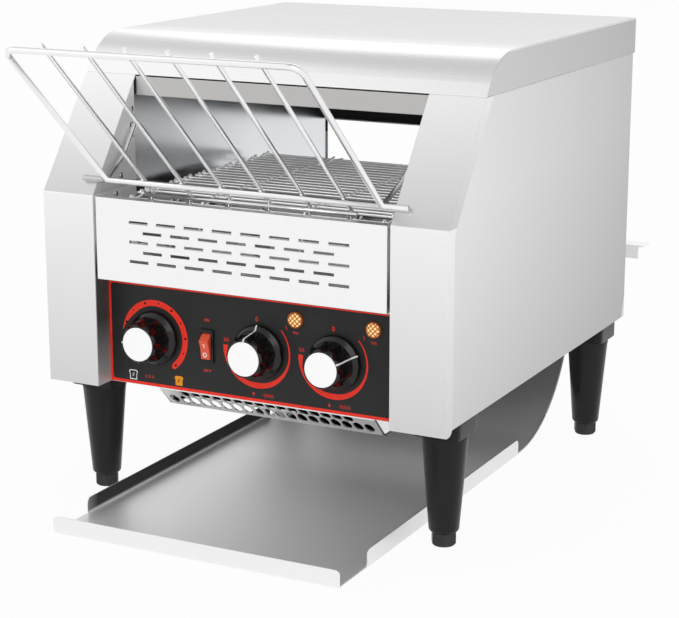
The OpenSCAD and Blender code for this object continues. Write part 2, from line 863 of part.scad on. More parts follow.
// Energy regulators behind the plate, each with a threaded neck through it and a nut in front
module rotary_controls() {
  color(DARK) for (x = [speed_x, upper_x, lower_x])
    difference() {
      union() {
        rod_y(x, plate_back, plate_back + control_depth, knob_z, 17);
        rod_y(x, face_y - 3.5, plate_back, knob_z, neck_r);
        translate([x, face_y, knob_z]) rotate([90, 0, 0]) cylinder(r = 7, h = 2.4, $fn = 6);
      }
      rod_y(x, face_y - 4.5, plate_back + 14, knob_z, shaft_d / 2 + axle_play);
    }
}

module control_shaft(x) {
  color(STEEL) rod_y(x, face_y - 14, plate_back + 13.5, knob_z, shaft_d / 2);
}

// Skirt, tapered grip with finger flutes, a recess over the nut and a socket for the shaft. A ridge
// between two flutes points the way of the dial's angle
module knob(x, points_to) {
  skirt_r = knob_d / 2;
  cap_r = cap_d / 2;
  top = knob_h - skirt_gap - cap_t;
  flutes = 10;
  color(BLACK) translate([x, face_y - skirt_gap, knob_z]) rotate([90, 0, 0]) difference() {
    rotate_extrude() polygon([
      [0, 0], [skirt_r, 0], [skirt_r, 3], [skirt_r - 1.2, 4.6], [skirt_r - 4.6, 6.4],
      [cap_r + 4, 7.6], [cap_r + 2, top - 1.6], [cap_r, top], [0, top]
    ]);
    translate([0, 0, -cut]) cylinder(r = 9, h = cut + 4);
    translate([0, 0, -cut]) cylinder(r = shaft_d / 2 + push_fit, h = cut + 13);
    for (i = [0 : flutes - 1])
      rotate(points_to + (i + 0.5) * 360 / flutes) translate([cap_r + 5.4, 0, 8.4])
        cylinder(r = 4, h = top, $fn = 32);
  }
}

module knob_cap(x) {
  color(BRIGHT) translate([x, face_y - knob_h + cap_t, knob_z]) rotate([90, 0, 0])
    cylinder(r = cap_d / 2 - 0.4, h = cap_t);
}

switch_w = 13;
switch_h = 28.5;
switch_z = knob_z - 1.5;
switch_hole_w = 11.2;
switch_hole_h = 24.4;
bezel_t = 2;
rocker_pin_y = face_y + 3;

module switch_housing() {
  depth = 18;
  color(BLACK) difference() {
    union() {
      along(face_y - bezel_t, face_y) translate([switch_x, switch_z])
        rounded(switch_w, switch_h, 1.5);
      block([switch_x - switch_hole_w / 2, face_y, switch_z - switch_hole_h / 2],
        [switch_x + switch_hole_w / 2, plate_back + depth, switch_z + switch_hole_h / 2]);
    }
    block([switch_x - 4.6, face_y - bezel_t - cut, switch_z - 11.2],
      [switch_x + 4.6, face_y + 9, switch_z + 11.2]);
    rod_x(switch_x - 5.2, switch_x + 5.2, rocker_pin_y, switch_z, 1.25);
  }
}

rocker_lean = 10;

// Key that tips about a cross pin, resting with its upper end out
module switch_rocker() {
  color(RED) translate([switch_x, rocker_pin_y, switch_z]) rotate([rocker_lean, 0, 0]) union() {
    across(-4.2, 4.2) polygon([
      [-8.2, -9.4], [-7.2, 0], [-8.2, 9.4], [-1, 9.8], [3.2, 2.5], [3.2, -2.5], [-1, -9.8]
    ]);
    rod_x(-5.1, 5.1, 0, 0, 1.2);
  }
}

module indicator_lights() {
  r = lamp_d / 2;
  color(AMBER) for (i = [0, 1])
    translate([lamp_x(i), face_y, lamp_z]) rotate([90, 0, 0]) union() {
      rotate_extrude() polygon([[0, 0], [r, 0], [r, 1.2], [r - 0.8, 2], [r - 2.6, 2.9], [0, 3.2]]);
      translate([0, 0, -16]) cylinder(r = r - 1.4, h = 16);
    }
}

// ---------------------------------------------------------------- trays and rack

module tray_side(x) {
  along_r = 5;
  y0 = front_y - 28;
  y1 = chute_turn_y - 5;
  across(x, x + tray_t) translate([(y0 + y1) / 2, tray_low + lip_h / 2])
    union() {
      rounded(y1 - y0, lip_h, along_r);
      translate([-(y1 - y0) / 2, -lip_h / 2]) square([y1 - y0, lip_h / 2]);
    }
}

// One sheet: a lip at the front, low side walls, a flat floor and a curved rear
module output_tray() {
  half = tray_w / 2;
  centre = [chute_turn_y, chute_z];
  color(STEEL) union() {
    across(-half, half) polygon(concat(
      [[lip_y, tray_low]],
      arc(centre, chute_r, -90, 0, 18),
      [[chute_turn_y + chute_r, chute_top], [chute_turn_y + chute_r - tray_t, chute_top]],
      arc(centre, chute_r - tray_t, 0, -90, 18),
      [[lip_y, tray_low + tray_t]]
    ));
    along(lip_y, lip_y + tray_t) translate([0, tray_low + lip_h / 2]) union() {
      rounded(tray_w, lip_h, 4);
      translate([-half, -lip_h / 2]) square([tray_w, lip_h / 2]);
    }
    tray_side(-half);
    tray_side(half - tray_t);
  }
}

// Shallow pan that lies on the deck below the belt and pulls out through the rear window
module crumb_tray() {
  half = column_x - 1;
  low = deck_top + loose;
  front = plate_back + 4;
  rear = deck_rear - 4;
  t = 0.8;
  color(STEEL) union() {
    difference() {
      block([-half, front, low], [half, rear, low + crumb_h]);
      block([-half + t, front + t, low + t], [half - t, rear - t, low + crumb_h + cut]);
    }
    block([-35, rear - t, low + crumb_h - t], [35, rear + 18, low + crumb_h]);
    block([-35, rear + 18 - t, low + crumb_h - 6], [35, rear + 18, low + crumb_h]);
  }
}

// Lays children drawn in the rack's own plane (x across, y up the slope) on the machine's front
module on_rack() {
  translate([0, rod_y, rod_z]) rotate([180 - rack_tilt, 0, 0]) children();
}

// A round wire along the rack's own plane
module rack_bar(from, to, r, lift) {
  wire([from[0], from[1], lift], [to[0], to[1], lift], r);
}

module rack_frame() {
  knee = rack_half - corner_r;
  rack_bar([-knee, top_bar_s], [knee, top_bar_s], frame_r, 0);
  rack_bar([-rod_half, 0], [rod_half, 0], frame_r, 0);
  for (side = [-1, 1]) {
    translate([side * knee, top_bar_s - corner_r, 0]) rotate([0, 0, side > 0 ? 0 : 90])
      rotate_extrude(angle = 90, $fn = 32) translate([corner_r, 0]) circle(r = frame_r, $fn = 24);
    rack_bar([side * rack_half, top_bar_s - corner_r], [side * rack_half, 0], frame_r, 0);
  }
}

// Six inner wires on the bread side of the frame, their lower ends bent round a thin bar
module rack_rungs() {
  low_lift = 2 * rung_r - 0.1 - rung_lift;
  bend_r = 2 * rung_r - 0.1;
  rack_bar([-2.5 * rung_pitch - 6, low_bar_s], [2.5 * rung_pitch + 6, low_bar_s], rung_r, low_lift);
  for (i = [-2.5 : 2.5]) {
    x = i * rung_pitch;
    rack_bar([x, low_bar_s], [x, top_bar_s + rung_tip], rung_r, -rung_lift);
    translate([x, low_bar_s, low_lift]) rotate([90, 0, 90]) rotate([0, 0, 90])
      rotate_extrude(angle = 180, $fn = 32) translate([bend_r, 0]) circle(r = rung_r, $fn = 24);
  }
}

// Arm from the rod back and up to a pin that turns in the column's return and the lining
module rack_arm() {
  start = [rack_half, rod_y, rod_z];
  knee = [rack_half + 3.5, hook_y - 23, hook_z - 22];
  elbow = [column_x - hook_r - 0.8, hook_y, hook_z];
  wire(start, knee, hook_r);
  wire(knee, elbow, hook_r);
  for (p = [knee, elbow]) translate(p) sphere(r = hook_r * 1.03, $fn = 24);
  rod_x(elbow[0], lining_out + 3, hook_y, hook_z, hook_r, $fn = 24);
}

module feed_rack() {
  color(BRIGHT) union() {
    on_rack() {
      rack_frame();
      rack_rungs();
    }
    both_sides() rack_arm();
  }
}

// ---------------------------------------------------------------- stand

module leg_places() {
  for (x = [-leg_x, leg_x], y = [-leg_front, leg_rear]) translate([x, y, 0]) children();
}

module legs() {
  top = side_low - collar_h;
  color(BLACK) leg_places() difference() {
    union() {
      translate([-collar_w / 2, -collar_w / 2, top]) cube([collar_w, collar_w, collar_h]);
      translate([0, 0, leg_low + 2]) cylinder(r1 = leg_low_d / 2, r2 = leg_top_d / 2, h = top - leg_low - 2);
      translate([0, 0, leg_low]) cylinder(r1 = leg_low_d / 2 - 1.6, r2 = leg_low_d / 2, h = 2);
    }
    translate([0, 0, leg_low - cut]) cylinder(r = stud_r + axle_play, h = 36);
  }
}

// Six-sided foot with a stud that screws up into the leg
module foot(x, y) {
  color(DARK) translate([x, y, 0]) union() {
    intersection() {
      cylinder(r = 10.7, h = foot_h, $fn = 6);
      rotate_extrude() polygon([[0, 0], [8.7, 0], [10.9, 2.6], [10.9, foot_h], [0, foot_h]]);
    }
    translate([0, 0, foot_h - 0.5]) cylinder(r = stud_r, h = 34);
  }
}

spacer_t = 1.5;
spacer_arm_x = half_w - 32.5;

// Folded bar as wide as the casing, held off the rear panel by two arms
module rear_spacer() {
  t = spacer_t;
  high = 13;
  bar_y = spacer_y - 20;
  top = spacer_z + high / 2;
  low = top - high;
  face = rear_in + sheet_t;
  color(STEEL) union() {
    block([-half_w + 8, bar_y, low], [half_w - 8, bar_y + t, top]);
    block([-half_w + 3, bar_y, top - t], [half_w - 3, spacer_y, top]);
    both_sides() {
      block([spacer_arm_x - t, face, low], [spacer_arm_x, bar_y + t, top]);
      block([spacer_arm_x - t, face, low], [spacer_arm_x + 16, face + t, top]);
    }
  }
}

module pan_head() {
  rotate_extrude() polygon([[0, 0], [2.6, 0], [2.6, 0.7], [1.8, 1.5], [0, 1.8]]);
}

// Two through each column's return, six round the rear panel and one on each foot of the spacer
module casing_screws() {
  face = rear_in + sheet_t;
  screw_low = side_low + 8;
  screw_high = lid_z - 17;
  color(BRIGHT) both_sides() {
    for (p = [[42, 35], [34, 21]])
      translate([column_x, front_y + p[0], belt_z + p[1]]) rotate([0, -90, 0]) pan_head();
    for (z = [screw_low, (screw_low + screw_high) / 2, screw_high])
      translate([panel_x - 7, face, z]) rotate([-90, 0, 0]) pan_head();
    translate([spacer_arm_x + 8, face + spacer_t, spacer_z]) rotate([-90, 0, 0]) pan_head();
  }
}

gland_bore_r = 4.2;

// Threaded body through the rear panel, a lock nut inside and a domed cap outside
module cord_gland() {
  face = rear_in + sheet_t;
  color(BLACK) difference() {
    union() {
      rod_y(gland_x, rear_in - 8, face, gland_z, gland_r);
      rod_y(gland_x, face, face + 6, gland_z, gland_r + 2.5, $fn = 6);
      translate([gland_x, face + 6, gland_z]) rotate([-90, 0, 0])
        rotate_extrude() polygon([[0, 0], [gland_r + 1, 0], [gland_r + 1, 6], [gland_r - 1, 9], [0, 9]]);
      translate([gland_x, rear_in, gland_z]) rotate([90, 0, 0]) cylinder(r = gland_r + 2.5, h = 4, $fn = 6);
    }
    rod_y(gland_x, rear_in - 9, face + 16, gland_z, gland_bore_r);
  }
}

module terminal_block() {
  color(CERAMIC) difference() {
    block([gland_x - 11, rear_in - 60, floor_top], [gland_x + 11, rear_in - 30, floor_top + 17]);
    for (i = [0 : 2])
      translate([gland_x - 7 + 7 * i, rear_in - 45, floor_top + 9]) cylinder(r = 2, h = 9);
  }
}

// ---------------------------------------------------------------- assembly

module stand_at_origin() {
  translate([0, stance_y, 0]) children();
}

module on_left() {
  mirror([1, 0, 0]) children();
}

stand_at_origin() top_cover();
stand_at_origin() on_left() side_panel();  // side_panel_left
stand_at_origin() side_panel();  // side_panel_right
stand_at_origin() on_left() front_column();  // front_column_left
stand_at_origin() front_column();  // front_column_right
stand_at_origin() vent_panel();
stand_at_origin() control_plate();
stand_at_origin() control_face();
stand_at_origin() header_strip();
stand_at_origin() rear_panel();
stand_at_origin() on_left() inner_wall();  // inner_wall_left
stand_at_origin() inner_wall();  // inner_wall_right
stand_at_origin() deck_plate();
stand_at_origin() base_plate();
stand_at_origin() air_intake();
stand_at_origin() upper_reflector();
stand_at_origin() lower_reflector();
stand_at_origin() upper_heaters();
stand_at_origin() lower_heaters();
stand_at_origin() heater_insulators();
stand_at_origin() belt_guides();
stand_at_origin() wire_belt();
stand_at_origin() shaft_bushes();
stand_at_origin() gear_motor();
stand_at_origin() motor_bracket();
stand_at_origin() drive_chain();
stand_at_origin() fan_frame();
stand_at_origin() rotary_controls();
stand_at_origin() switch_housing();
stand_at_origin() indicator_lights();
stand_at_origin() legs();
stand_at_origin() rear_spacer();
stand_at_origin() casing_screws();
stand_at_origin() cord_gland();
stand_at_origin() terminal_block();
stand_at_origin() output_tray();
stand_at_origin() crumb_tray();
stand_at_origin() feed_rack();
stand_at_origin() knob(speed_x, 180);  // speed_knob
stand_at_origin() knob_cap(speed_x);  // speed_cap
stand_at_origin() control_shaft(speed_x);  // speed_shaft
stand_at_origin() knob(upper_x, 90);  // upper_heat_knob
stand_at_origin() knob_cap(upper_x);  // upper_heat_cap
stand_at_origin() control_shaft(upper_x);  // upper_heat_shaft
stand_at_origin() knob(lower_x, 22);  // lower_heat_knob
stand_at_origin() knob_cap(lower_x);  // lower_heat_cap
stand_at_origin() control_shaft(lower_x);  // lower_heat_shaft
stand_at_origin() switch_rocker();
stand_at_origin() front_shaft();
stand_at_origin() belt_sprockets(front_axle_y);  // front_sprockets
stand_at_origin() rear_shaft();
stand_at_origin() belt_sprockets(rear_axle_y);  // rear_sprockets
stand_at_origin() driven_sprocket();
stand_at_origin() motor_shaft();
stand_at_origin() motor_sprocket();
stand_at_origin() fan_rotor();
stand_at_origin() foot(-leg_x, -leg_front);  // foot_front_left
stand_at_origin() foot(leg_x, -leg_front);  // foot_front_right
stand_at_origin() foot(-leg_x, leg_rear);  // foot_rear_left
stand_at_origin() foot(leg_x, leg_rear);  // foot_rear_right
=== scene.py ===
"""Looks of a countertop conveyor toaster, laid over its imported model.

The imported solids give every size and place. This script lays softened sheet metal and moulded parts over them,
gives each surface its finish, and adds the printed dial marks, welds and small hardware that the solids leave out.
Sizes in the classes are millimetres in the casing's own frame: x across, y back from the casing's middle and z up
from the table. Meshes are made in metres.
"""
import json
import logging
import math
from dataclasses import dataclass, replace
from enum import Enum
from typing import Callable, Iterable, Sequence

import bmesh
import bpy
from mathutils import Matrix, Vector
from mathutils.bvhtree import BVHTree


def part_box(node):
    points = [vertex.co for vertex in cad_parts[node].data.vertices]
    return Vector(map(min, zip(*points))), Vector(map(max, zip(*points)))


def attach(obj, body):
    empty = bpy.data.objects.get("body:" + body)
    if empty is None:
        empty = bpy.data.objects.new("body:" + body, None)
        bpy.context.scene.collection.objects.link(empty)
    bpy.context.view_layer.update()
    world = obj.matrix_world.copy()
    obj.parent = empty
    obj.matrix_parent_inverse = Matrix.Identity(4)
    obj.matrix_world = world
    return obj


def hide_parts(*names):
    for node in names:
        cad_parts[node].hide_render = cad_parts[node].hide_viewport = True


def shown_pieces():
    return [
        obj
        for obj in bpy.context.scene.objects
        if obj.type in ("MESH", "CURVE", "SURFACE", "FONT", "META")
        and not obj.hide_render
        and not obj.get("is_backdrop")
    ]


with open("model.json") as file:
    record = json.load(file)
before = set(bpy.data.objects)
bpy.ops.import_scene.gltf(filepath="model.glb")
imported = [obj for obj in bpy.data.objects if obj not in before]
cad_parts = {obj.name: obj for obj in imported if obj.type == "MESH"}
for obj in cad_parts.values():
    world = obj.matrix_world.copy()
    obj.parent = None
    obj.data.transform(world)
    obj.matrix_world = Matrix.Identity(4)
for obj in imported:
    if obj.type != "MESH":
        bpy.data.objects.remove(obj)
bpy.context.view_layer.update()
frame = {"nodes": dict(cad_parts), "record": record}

LOG = logging.getLogger("toaster")
MM = 0.001
WELD = 0.002
SLOT_OF = {part["node"]: part["material_slot"] for part in frame["record"]["subparts"]}
BODY_OF = {node: body for body, nodes in frame["record"]["behaviour"]["bodies"].items() for node in nodes}
CASING_MIDDLE = (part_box("front_column_left")[0].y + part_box("top_cover")[1].y) / 2

FACE_Y = -189.1
DIAL_Z = 147.0
DIAL_XS = {"speed": -89.5, "upper_heat": 9.5, "lower_heat": 78.5}

Point = tuple[float, float]
Place = tuple[float, float, float]
Colour = tuple[float, float, float]
Socket = bpy.types.NodeSocket
Fed = Socket | float | Sequence[float]
Placer = Callable[[float, float, float], Vector]


def at(x: float, y: float, z: float) -> Vector:
    """Turns a place in the casing's frame, in millimetres, into metres in the model's frame."""
    return Vector((x * MM, y * MM + CASING_MIDDLE, z * MM))


# ---------------------------------------------------------------- shader wiring


class Wiring:
    """A shader tree that nodes are added to and linked in."""

    def __init__(self, tree: bpy.types.NodeTree) -> None:
        """Keeps the tree.

        Args:
            tree: the tree of a group, a material or the world.
        """
        self.tree = tree

    def node(self, kind: str, **settings: object) -> bpy.types.Node:
        """Adds a node.

        Args:
            kind: its type, without the prefix that all shader nodes share.
            **settings: its properties by name.

        Returns:
            The node.
        """
        made = self.tree.nodes.new("ShaderNode" + kind)
        for name, value in settings.items():
            setattr(made, name, value)
        return made

    def feed(self, node: bpy.types.Node, values: dict[str | int, Fed]) -> None:
        """Links each named input of a node to a socket, or gives it a value."""
        for name, value in values.items():
            if isinstance(value, Socket):
                self.tree.links.new(value, node.inputs[name])
            else:
                node.inputs[name].default_value = value

    def place(self) -> Socket:
        """Gives the place on the piece, in metres."""
        return self.node("TexCoord").outputs["Object"]

    def math(self, operation: str, first: Fed, second: Fed = 0.0, clamp: bool = False) -> Socket:
        """Adds an operation on one or two numbers, held between 0 and 1 where clamp is set."""
        made = self.node("Math", operation=operation, use_clamp=clamp)
        self.feed(made, {0: first, 1: second})
        return made.outputs[0]

    def vector(self, operation: str, first: Socket, second: Fed = (0.0, 0.0, 0.0), output: str = "Vector") -> Socket:
        """Adds an operation on one or two vectors, of which the vector or the value is taken."""
        made = self.node("VectorMath", operation=operation)
        self.feed(made, {0: first, 1: second})
        return made.outputs[output]

    def axes(self, vector: Socket) -> dict[str, Socket]:
        """Parts a vector into its numbers, by the names of the axes."""
        made = self.node("SeparateXYZ")
        self.feed(made, {0: vector})
        return {axis: made.outputs[axis] for axis in "XYZ"}

    def ranged(self, source: Socket, given: tuple[Fed, Fed], wanted: Point = (0.0, 1.0)) -> Socket:
        """Spreads one range of a number over another.

        Args:
            source: the number.
            given: the lowest and highest number that counts.
            wanted: what these two become.

        Returns:
            The new number.
        """
        made = self.node("MapRange")
        self.feed(made, {"Value": source, "From Min": given[0], "From Max": given[1],
                         "To Min": wanted[0], "To Max": wanted[1]})
        return made.outputs["Result"]

    def noise(self, vector: Socket, scale: Fed, detail: float, roughness: float = 0.5) -> Socket:
        """Adds a noise texture.

        Args:
            vector: where on the piece it is read.
            scale: how fine it is.
            detail: how many octaves it has.
            roughness: how strong the finer octaves are.

        Returns:
            The noise's value.
        """
        made = self.node("TexNoise")
        self.feed(made, {"Vector": vector, "Scale": scale, "Detail": detail, "Roughness": roughness})
        return made.outputs["Fac"]

    def mixed(self, share: Fed, first: Fed, second: Fed, blend: str = "MIX") -> Socket:
        """Mixes two colours by a share."""
        made = self.node("Mix", data_type="RGBA", blend_type=blend)
        self.feed(made, {"Factor": share, "A": first, "B": second})
        return made.outputs["Result"]

    def group(self, shared: bpy.types.NodeTree, values: dict[str, Fed]) -> Socket:
        """Adds a shared group with its inputs and gives its one output."""
        made = self.node("Group", node_tree=shared)
        self.feed(made, values)
        return made.outputs[0]

    def surface(self, outlet: bpy.types.Node, share: Socket, first: Socket, second: Socket) -> None:
        """Ends the tree at its outlet with two shaders, mixed by a share."""
        made = self.node("MixShader")
        self.feed(made, {0: share, 1: first, 2: second})
        self.feed(outlet, {"Surface": made.outputs["Shader"]})


class GroupMaker(Wiring):
    """One shared shader group under construction."""

    def __init__(self, name: str, **inputs: float | Sequence[float]) -> None:
        """Starts a group with its inputs.

        Args:
            name: what the group is called.
            **inputs: the default number or vector of each input.
        """
        super().__init__(bpy.data.node_groups.new(name, "ShaderNodeTree"))
        for key, value in inputs.items():
            kind = "NodeSocketFloat" if isinstance(value, float) else "NodeSocketVector"
            self.tree.interface.new_socket(key, in_out="INPUT", socket_type=kind).default_value = value
        self.inlet = self.tree.nodes.new("NodeGroupInput")

    def given(self, name: str) -> Socket:
        """Gives one of the group's inputs."""
        return self.inlet.outputs[name]

    def gives(self, name: str, source: Socket) -> bpy.types.NodeTree:
        """Ends the group with a number as its output.

        Args:
            name: what the output is called.
            source: the number.

        Returns:
            The group.
        """
        self.tree.interface.new_socket(name, in_out="OUTPUT", socket_type="NodeSocketFloat")
        self.feed(self.tree.nodes.new("NodeGroupOutput"), {name: source})
        return self.tree


def brushed_group() -> bpy.types.NodeTree:
    """Builds the long fine scratches of brushed or drawn metal."""
    group = GroupMaker("brushed_grain", Stretch=(2600.0, 16.0, 2600.0))
    where = group.vector("MULTIPLY", group.place(), group.given("Stretch"))
    fine = group.noise(where, 1.0, 2.0)
    coarse = group.noise(where, 0.45, 1.0)
    cloud = group.noise(group.place(), 5.0, 2.0)
    lines = group.math("ADD", fine, group.math("MULTIPLY", coarse, 0.5))
    clouded = group.math("ADD", lines, group.math("MULTIPLY", cloud, 0.5))
    return group.gives("Mask", group.ranged(clouded, (0.55, 1.45)))


def smudge_group() -> bpy.types.NodeTree:
    """Builds the soft cloudy change that handling leaves on a smooth surface."""
    group = GroupMaker("soft_smudges", Fineness=14.0)
    cloud = group.noise(group.place(), group.given("Fineness"), 4.0, 0.6)
    return group.gives("Mask", group.ranged(cloud, (0.3, 0.7)))


def skin_group() -> bpy.types.NodeTree:
    """Builds the fine pebbled skin of a moulded part."""
    group = GroupMaker("moulded_skin", Fineness=1800.0)
    pebble = group.noise(group.place(), group.given("Fineness"), 2.0)
    cloud = group.noise(group.place(), 30.0, 3.0)
    return group.gives("Mask", group.ranged(group.math("ADD", pebble, cloud), (0.7, 1.3)))


def lattice_group() -> bpy.types.NodeTree:
    """Builds crossed slanting ribs, as moulded inside a lamp's lens."""
    group = GroupMaker("lens_lattice", Fineness=1300.0)
    where = group.axes(group.place())
    ribs = []
    for operation in ("ADD", "SUBTRACT"):
        slant = group.math(operation, where["X"], where["Z"])
        wave = group.math("SINE", group.math("MULTIPLY", slant, group.given("Fineness")))
        ribs.append(group.math("ABSOLUTE", wave))
    return group.gives("Mask", group.ranged(group.math("MINIMUM", *ribs), (0.25, 0.7)))


def painted_shade_fade_group() -> bpy.types.NodeTree:
    """Builds painted shade: a tone that falls off between two places and is whole again past the second."""
    group = GroupMaker("painted_shade_fade", Way=(0.0, 0.0, -1.0), Start=0.0, End=1.0, Depth=0.2)
    along = group.vector("DOT_PRODUCT", group.place(), group.given("Way"), "Value")
    share = group.ranged(along, (group.given("Start"), group.given("End")))
    before = group.math("LESS_THAN", along, group.given("End"))
    lost = group.math("MULTIPLY", group.math("MULTIPLY", share, before), group.given("Depth"))
    return group.gives("Tone", group.math("SUBTRACT", 1.0, lost))


def painted_shade_zone_group() -> bpy.types.NodeTree:
    """Builds painted shade: a tone that is lower inside a box, rising and falling over a set length at its sides."""
    ones = (1.0, 1.0, 1.0)
    group = GroupMaker("painted_shade_zone", Low=ones, High=ones, Rise=ones, Fall=ones, Depth=0.2)
    inside = group.given("Depth")
    for first, second, length in ((group.place(), group.given("Low"), group.given("Rise")),
                                  (group.given("High"), group.place(), group.given("Fall"))):
        share = group.vector("DIVIDE", group.vector("SUBTRACT", first, second), length)
        held = group.vector("MAXIMUM", group.vector("MINIMUM", share, ones))
        for part in group.axes(held).values():
            inside = group.math("MULTIPLY", inside, part)
    return group.gives("Tone", group.math("SUBTRACT", 1.0, inside))


class Texture(Enum):
    """The surface patterns that a finish can have."""

    BRUSHED = "brushed"
    SMUDGED = "smudged"
    MOULDED = "moulded"
    LATTICE = "lattice"


PAINTED_SHADE_FADE = painted_shade_fade_group()
PAINTED_SHADE_ZONE = painted_shade_zone_group()
GROUPS = {
    Texture.BRUSHED: brushed_group(),
    Texture.SMUDGED: smudge_group(),
    Texture.MOULDED: skin_group(),
    Texture.LATTICE: lattice_group(),
}


class Grain(Enum):
    """The way that the scratches of a brushed sheet run, as a scale for each axis."""

    ACROSS = (16.0, 2600.0, 2600.0)
    BACK = (2600.0, 16.0, 2600.0)
    UP = (2600.0, 2600.0, 16.0)


# ---------------------------------------------------------------- finishes


@dataclass(frozen=True)
class ShadeFade:
    """Painted shade: a tone that falls off along a surface, between two places in the casing's frame."""

    start: Place
    end: Place
    depth: float

    def lay(self, wiring: Wiring, colour: Socket) -> Socket:
        """Darkens a colour by the fade's painted shade.

        Args:
            wiring: the material's nodes.
            colour: the colour so far.

        Returns:
            The darkened colour.
        """
        way = (at(*self.end) - at(*self.start)).normalized()
        ends = {"Start": at(*self.start).dot(way), "End": at(*self.end).dot(way)}
        tone = wiring.group(PAINTED_SHADE_FADE, {"Way": way, **ends, "Depth": self.depth})
        return wiring.mixed(1.0, colour, tone, "MULTIPLY")


CRISP = (0.1, 0.1, 0.1)


@dataclass(frozen=True)
class ShadeZone:
    """Painted shade: a darker box of the casing's frame, with the lengths over which it comes in at its low and high
    sides.
    """

    low: Place
    high: Place
    depth: float
    rise: Place = CRISP
    fall: Place = CRISP

    def lay(self, wiring: Wiring, colour: Socket) -> Socket:
        """Darkens a colour inside the box with painted shade.

        Args:
            wiring: the material's nodes.
            colour: the colour so far.

        Returns:
            The darkened colour.
        """
        box = {"Low": at(*self.low), "High": at(*self.high)}
        sides = {"Rise": Vector(self.rise) * MM, "Fall": Vector(self.fall) * MM}
        tone = wiring.group(PAINTED_SHADE_ZONE, {**box, **sides, "Depth": self.depth})
        return wiring.mixed(1.0, colour, tone, "MULTIPLY")


@dataclass(frozen=True)
class Finish:
    """How one surface looks.

    The pattern's mask moves the colour from dark to light and the roughness from smooth to dull.
    """

    name: str
    dark: Colour
    light: Colour
    smooth: float
    dull: float
    texture: Texture = Texture.SMUDGED
    metallic: float = 0.0
    grain: Grain = Grain.BACK
    fineness: float = 14.0
    relief: float = 0.0
    glow_and_painted_light: float = 0.0
    gloss: float = 0.5
    painted_shades: tuple[ShadeFade | ShadeZone, ...] = ()

    def material(self) -> bpy.types.Material:
        """Makes the finish's material, or finds it where it was made before."""
        return bpy.data.materials.get(self.name) or self._build()

    def _build(self) -> bpy.types.Material:
        """Lays out the node tree.

        Returns:
            The new material.
        """
        material = bpy.data.materials.new(self.name)
        material.use_nodes = True
        wiring = Wiring(material.node_tree)
        shader = material.node_tree.nodes["Principled BSDF"]
        brushed = self.texture is Texture.BRUSHED
        given = {"Stretch": self.grain.value} if brushed else {"Fineness": self.fineness}
        mask = wiring.group(GROUPS[self.texture], given)
        colour = wiring.mixed(mask, (*self.dark, 1.0), (*self.light, 1.0))
        # Painted shade: each fade and zone darkens the colour where the light falls off.
        for layer in self.painted_shades:
            colour = layer.lay(wiring, colour)
        roughness = wiring.ranged(mask, (0.0, 1.0), (self.smooth, self.dull))
        wiring.feed(shader, {"Base Color": colour, "Roughness": roughness, "Metallic": self.metallic,
                             "Specular IOR Level": self.gloss})
        if self.relief:
            bump = wiring.node("Bump")
            wiring.feed(bump, {"Strength": 1.0, "Distance": self.relief * MM, "Height": mask})
            wiring.feed(shader, {"Normal": bump.outputs["Normal"]})
        # Glow: the lamp lenses really light up; on every other finish it is painted light.
        if self.glow_and_painted_light:
            wiring.feed(shader, {"Emission Color": colour, "Emission Strength": self.glow_and_painted_light})
        return material


def grey(value: float, blue: float = 0.0) -> Colour:
    """Gives a grey, a little towards blue where that is above 0 and towards yellow below it."""
    return (value - blue, value, value + blue)


# Painted shade: the fades darken the column slopes and fronts towards their lower ends, the side panels towards the
# rear and the bottom, and the lining towards the tunnel's mouth.
SLOPE_PAINTED_SHADE = ShadeFade((0, 0, 352), (0, 0, 265.2), 0.31)
FRONT_PAINTED_SHADE = ShadeFade((0, 0, 265.2), (0, 0, 100), 0.27)
SIDE_PAINTED_SHADES = (ShadeFade((0, -150, 330), (0, 230, 190), 0.34), ShadeFade((0, 0, 290), (0, 0, 80), 0.24))
LINING_PAINTED_SHADE = ShadeFade((0, 60, 0), (0, -230, 0), 0.62)
# Painted shade: the lid's top darkens behind its nose, and its skirts darken towards the rear.
LID_TOP_PAINTED_SHADE = ShadeZone((-300, -110, 386.8), (300, 400, 400), 0.22, rise=(0.1, 60, 0.5))
LID_SKIRT_PAINTED_SHADES = (
    ShadeZone((182.0, -700, 300), (190, 400, 386.8), 0.46, rise=(0.3, 900, 1), fall=(0.1, 0.1, 0.5)),
    ShadeZone((-190, -700, 300), (-182.0, 400, 386.8), 0.46, rise=(0.1, 900, 1), fall=(0.3, 0.1, 0.5)),
)
# Painted shade: the inner faces of the column returns darken under the knee.
RETURN_PAINTED_SHADES = tuple(ShadeZone((x - 0.4, -208, 90), (x + 0.4, 0, 230), 0.88, rise=(0.2, 1, 70), fall=(0.2, 1, 25))
                for x in (-134.0, 134.0))
# Painted shade and painted dark reflection: the tray's inner walls darken, the tray floor darkens towards the right
# and the chute darkens towards the rear.
TRAY_WALL_PAINTED_SHADES = tuple(ShadeZone((x - 0.4, -262, 2.3), (x + 0.4, 300, 20), 0.95, rise=(0.2, 40, 2.5), fall=(0.2, 1, 1))
                   for x in (-129.0, 129.0))
TRAY_FLOOR_PAINTED_SHADE = ShadeZone((-129, -283, 0.5), (128.9, 72, 2.3), 0.22, rise=(250, 0.5, 0.1), fall=(0.1, 100, 0.1))
TRAY_CHUTE_PAINTED_SHADE = ShadeZone((-129, -30, 0.5), (129, 300, 200), 0.55, rise=(0.1, 160, 0.1))
# Painted shade: the inside of the scoop's box is painted nearly black.
SCOOP_PAINTED_SHADE = ShadeZone((-87.9, -166, 86.1), (109.9, 69.5, 110), 0.92)
# Painted shade: the inside of the rear panel above the belt is painted nearly black.
TUNNEL_END_PAINTED_SHADE = ShadeZone((-300, 205.2, 262), (300, 206.3, 400), 0.97, fall=(0.1, 0.3, 0.1))

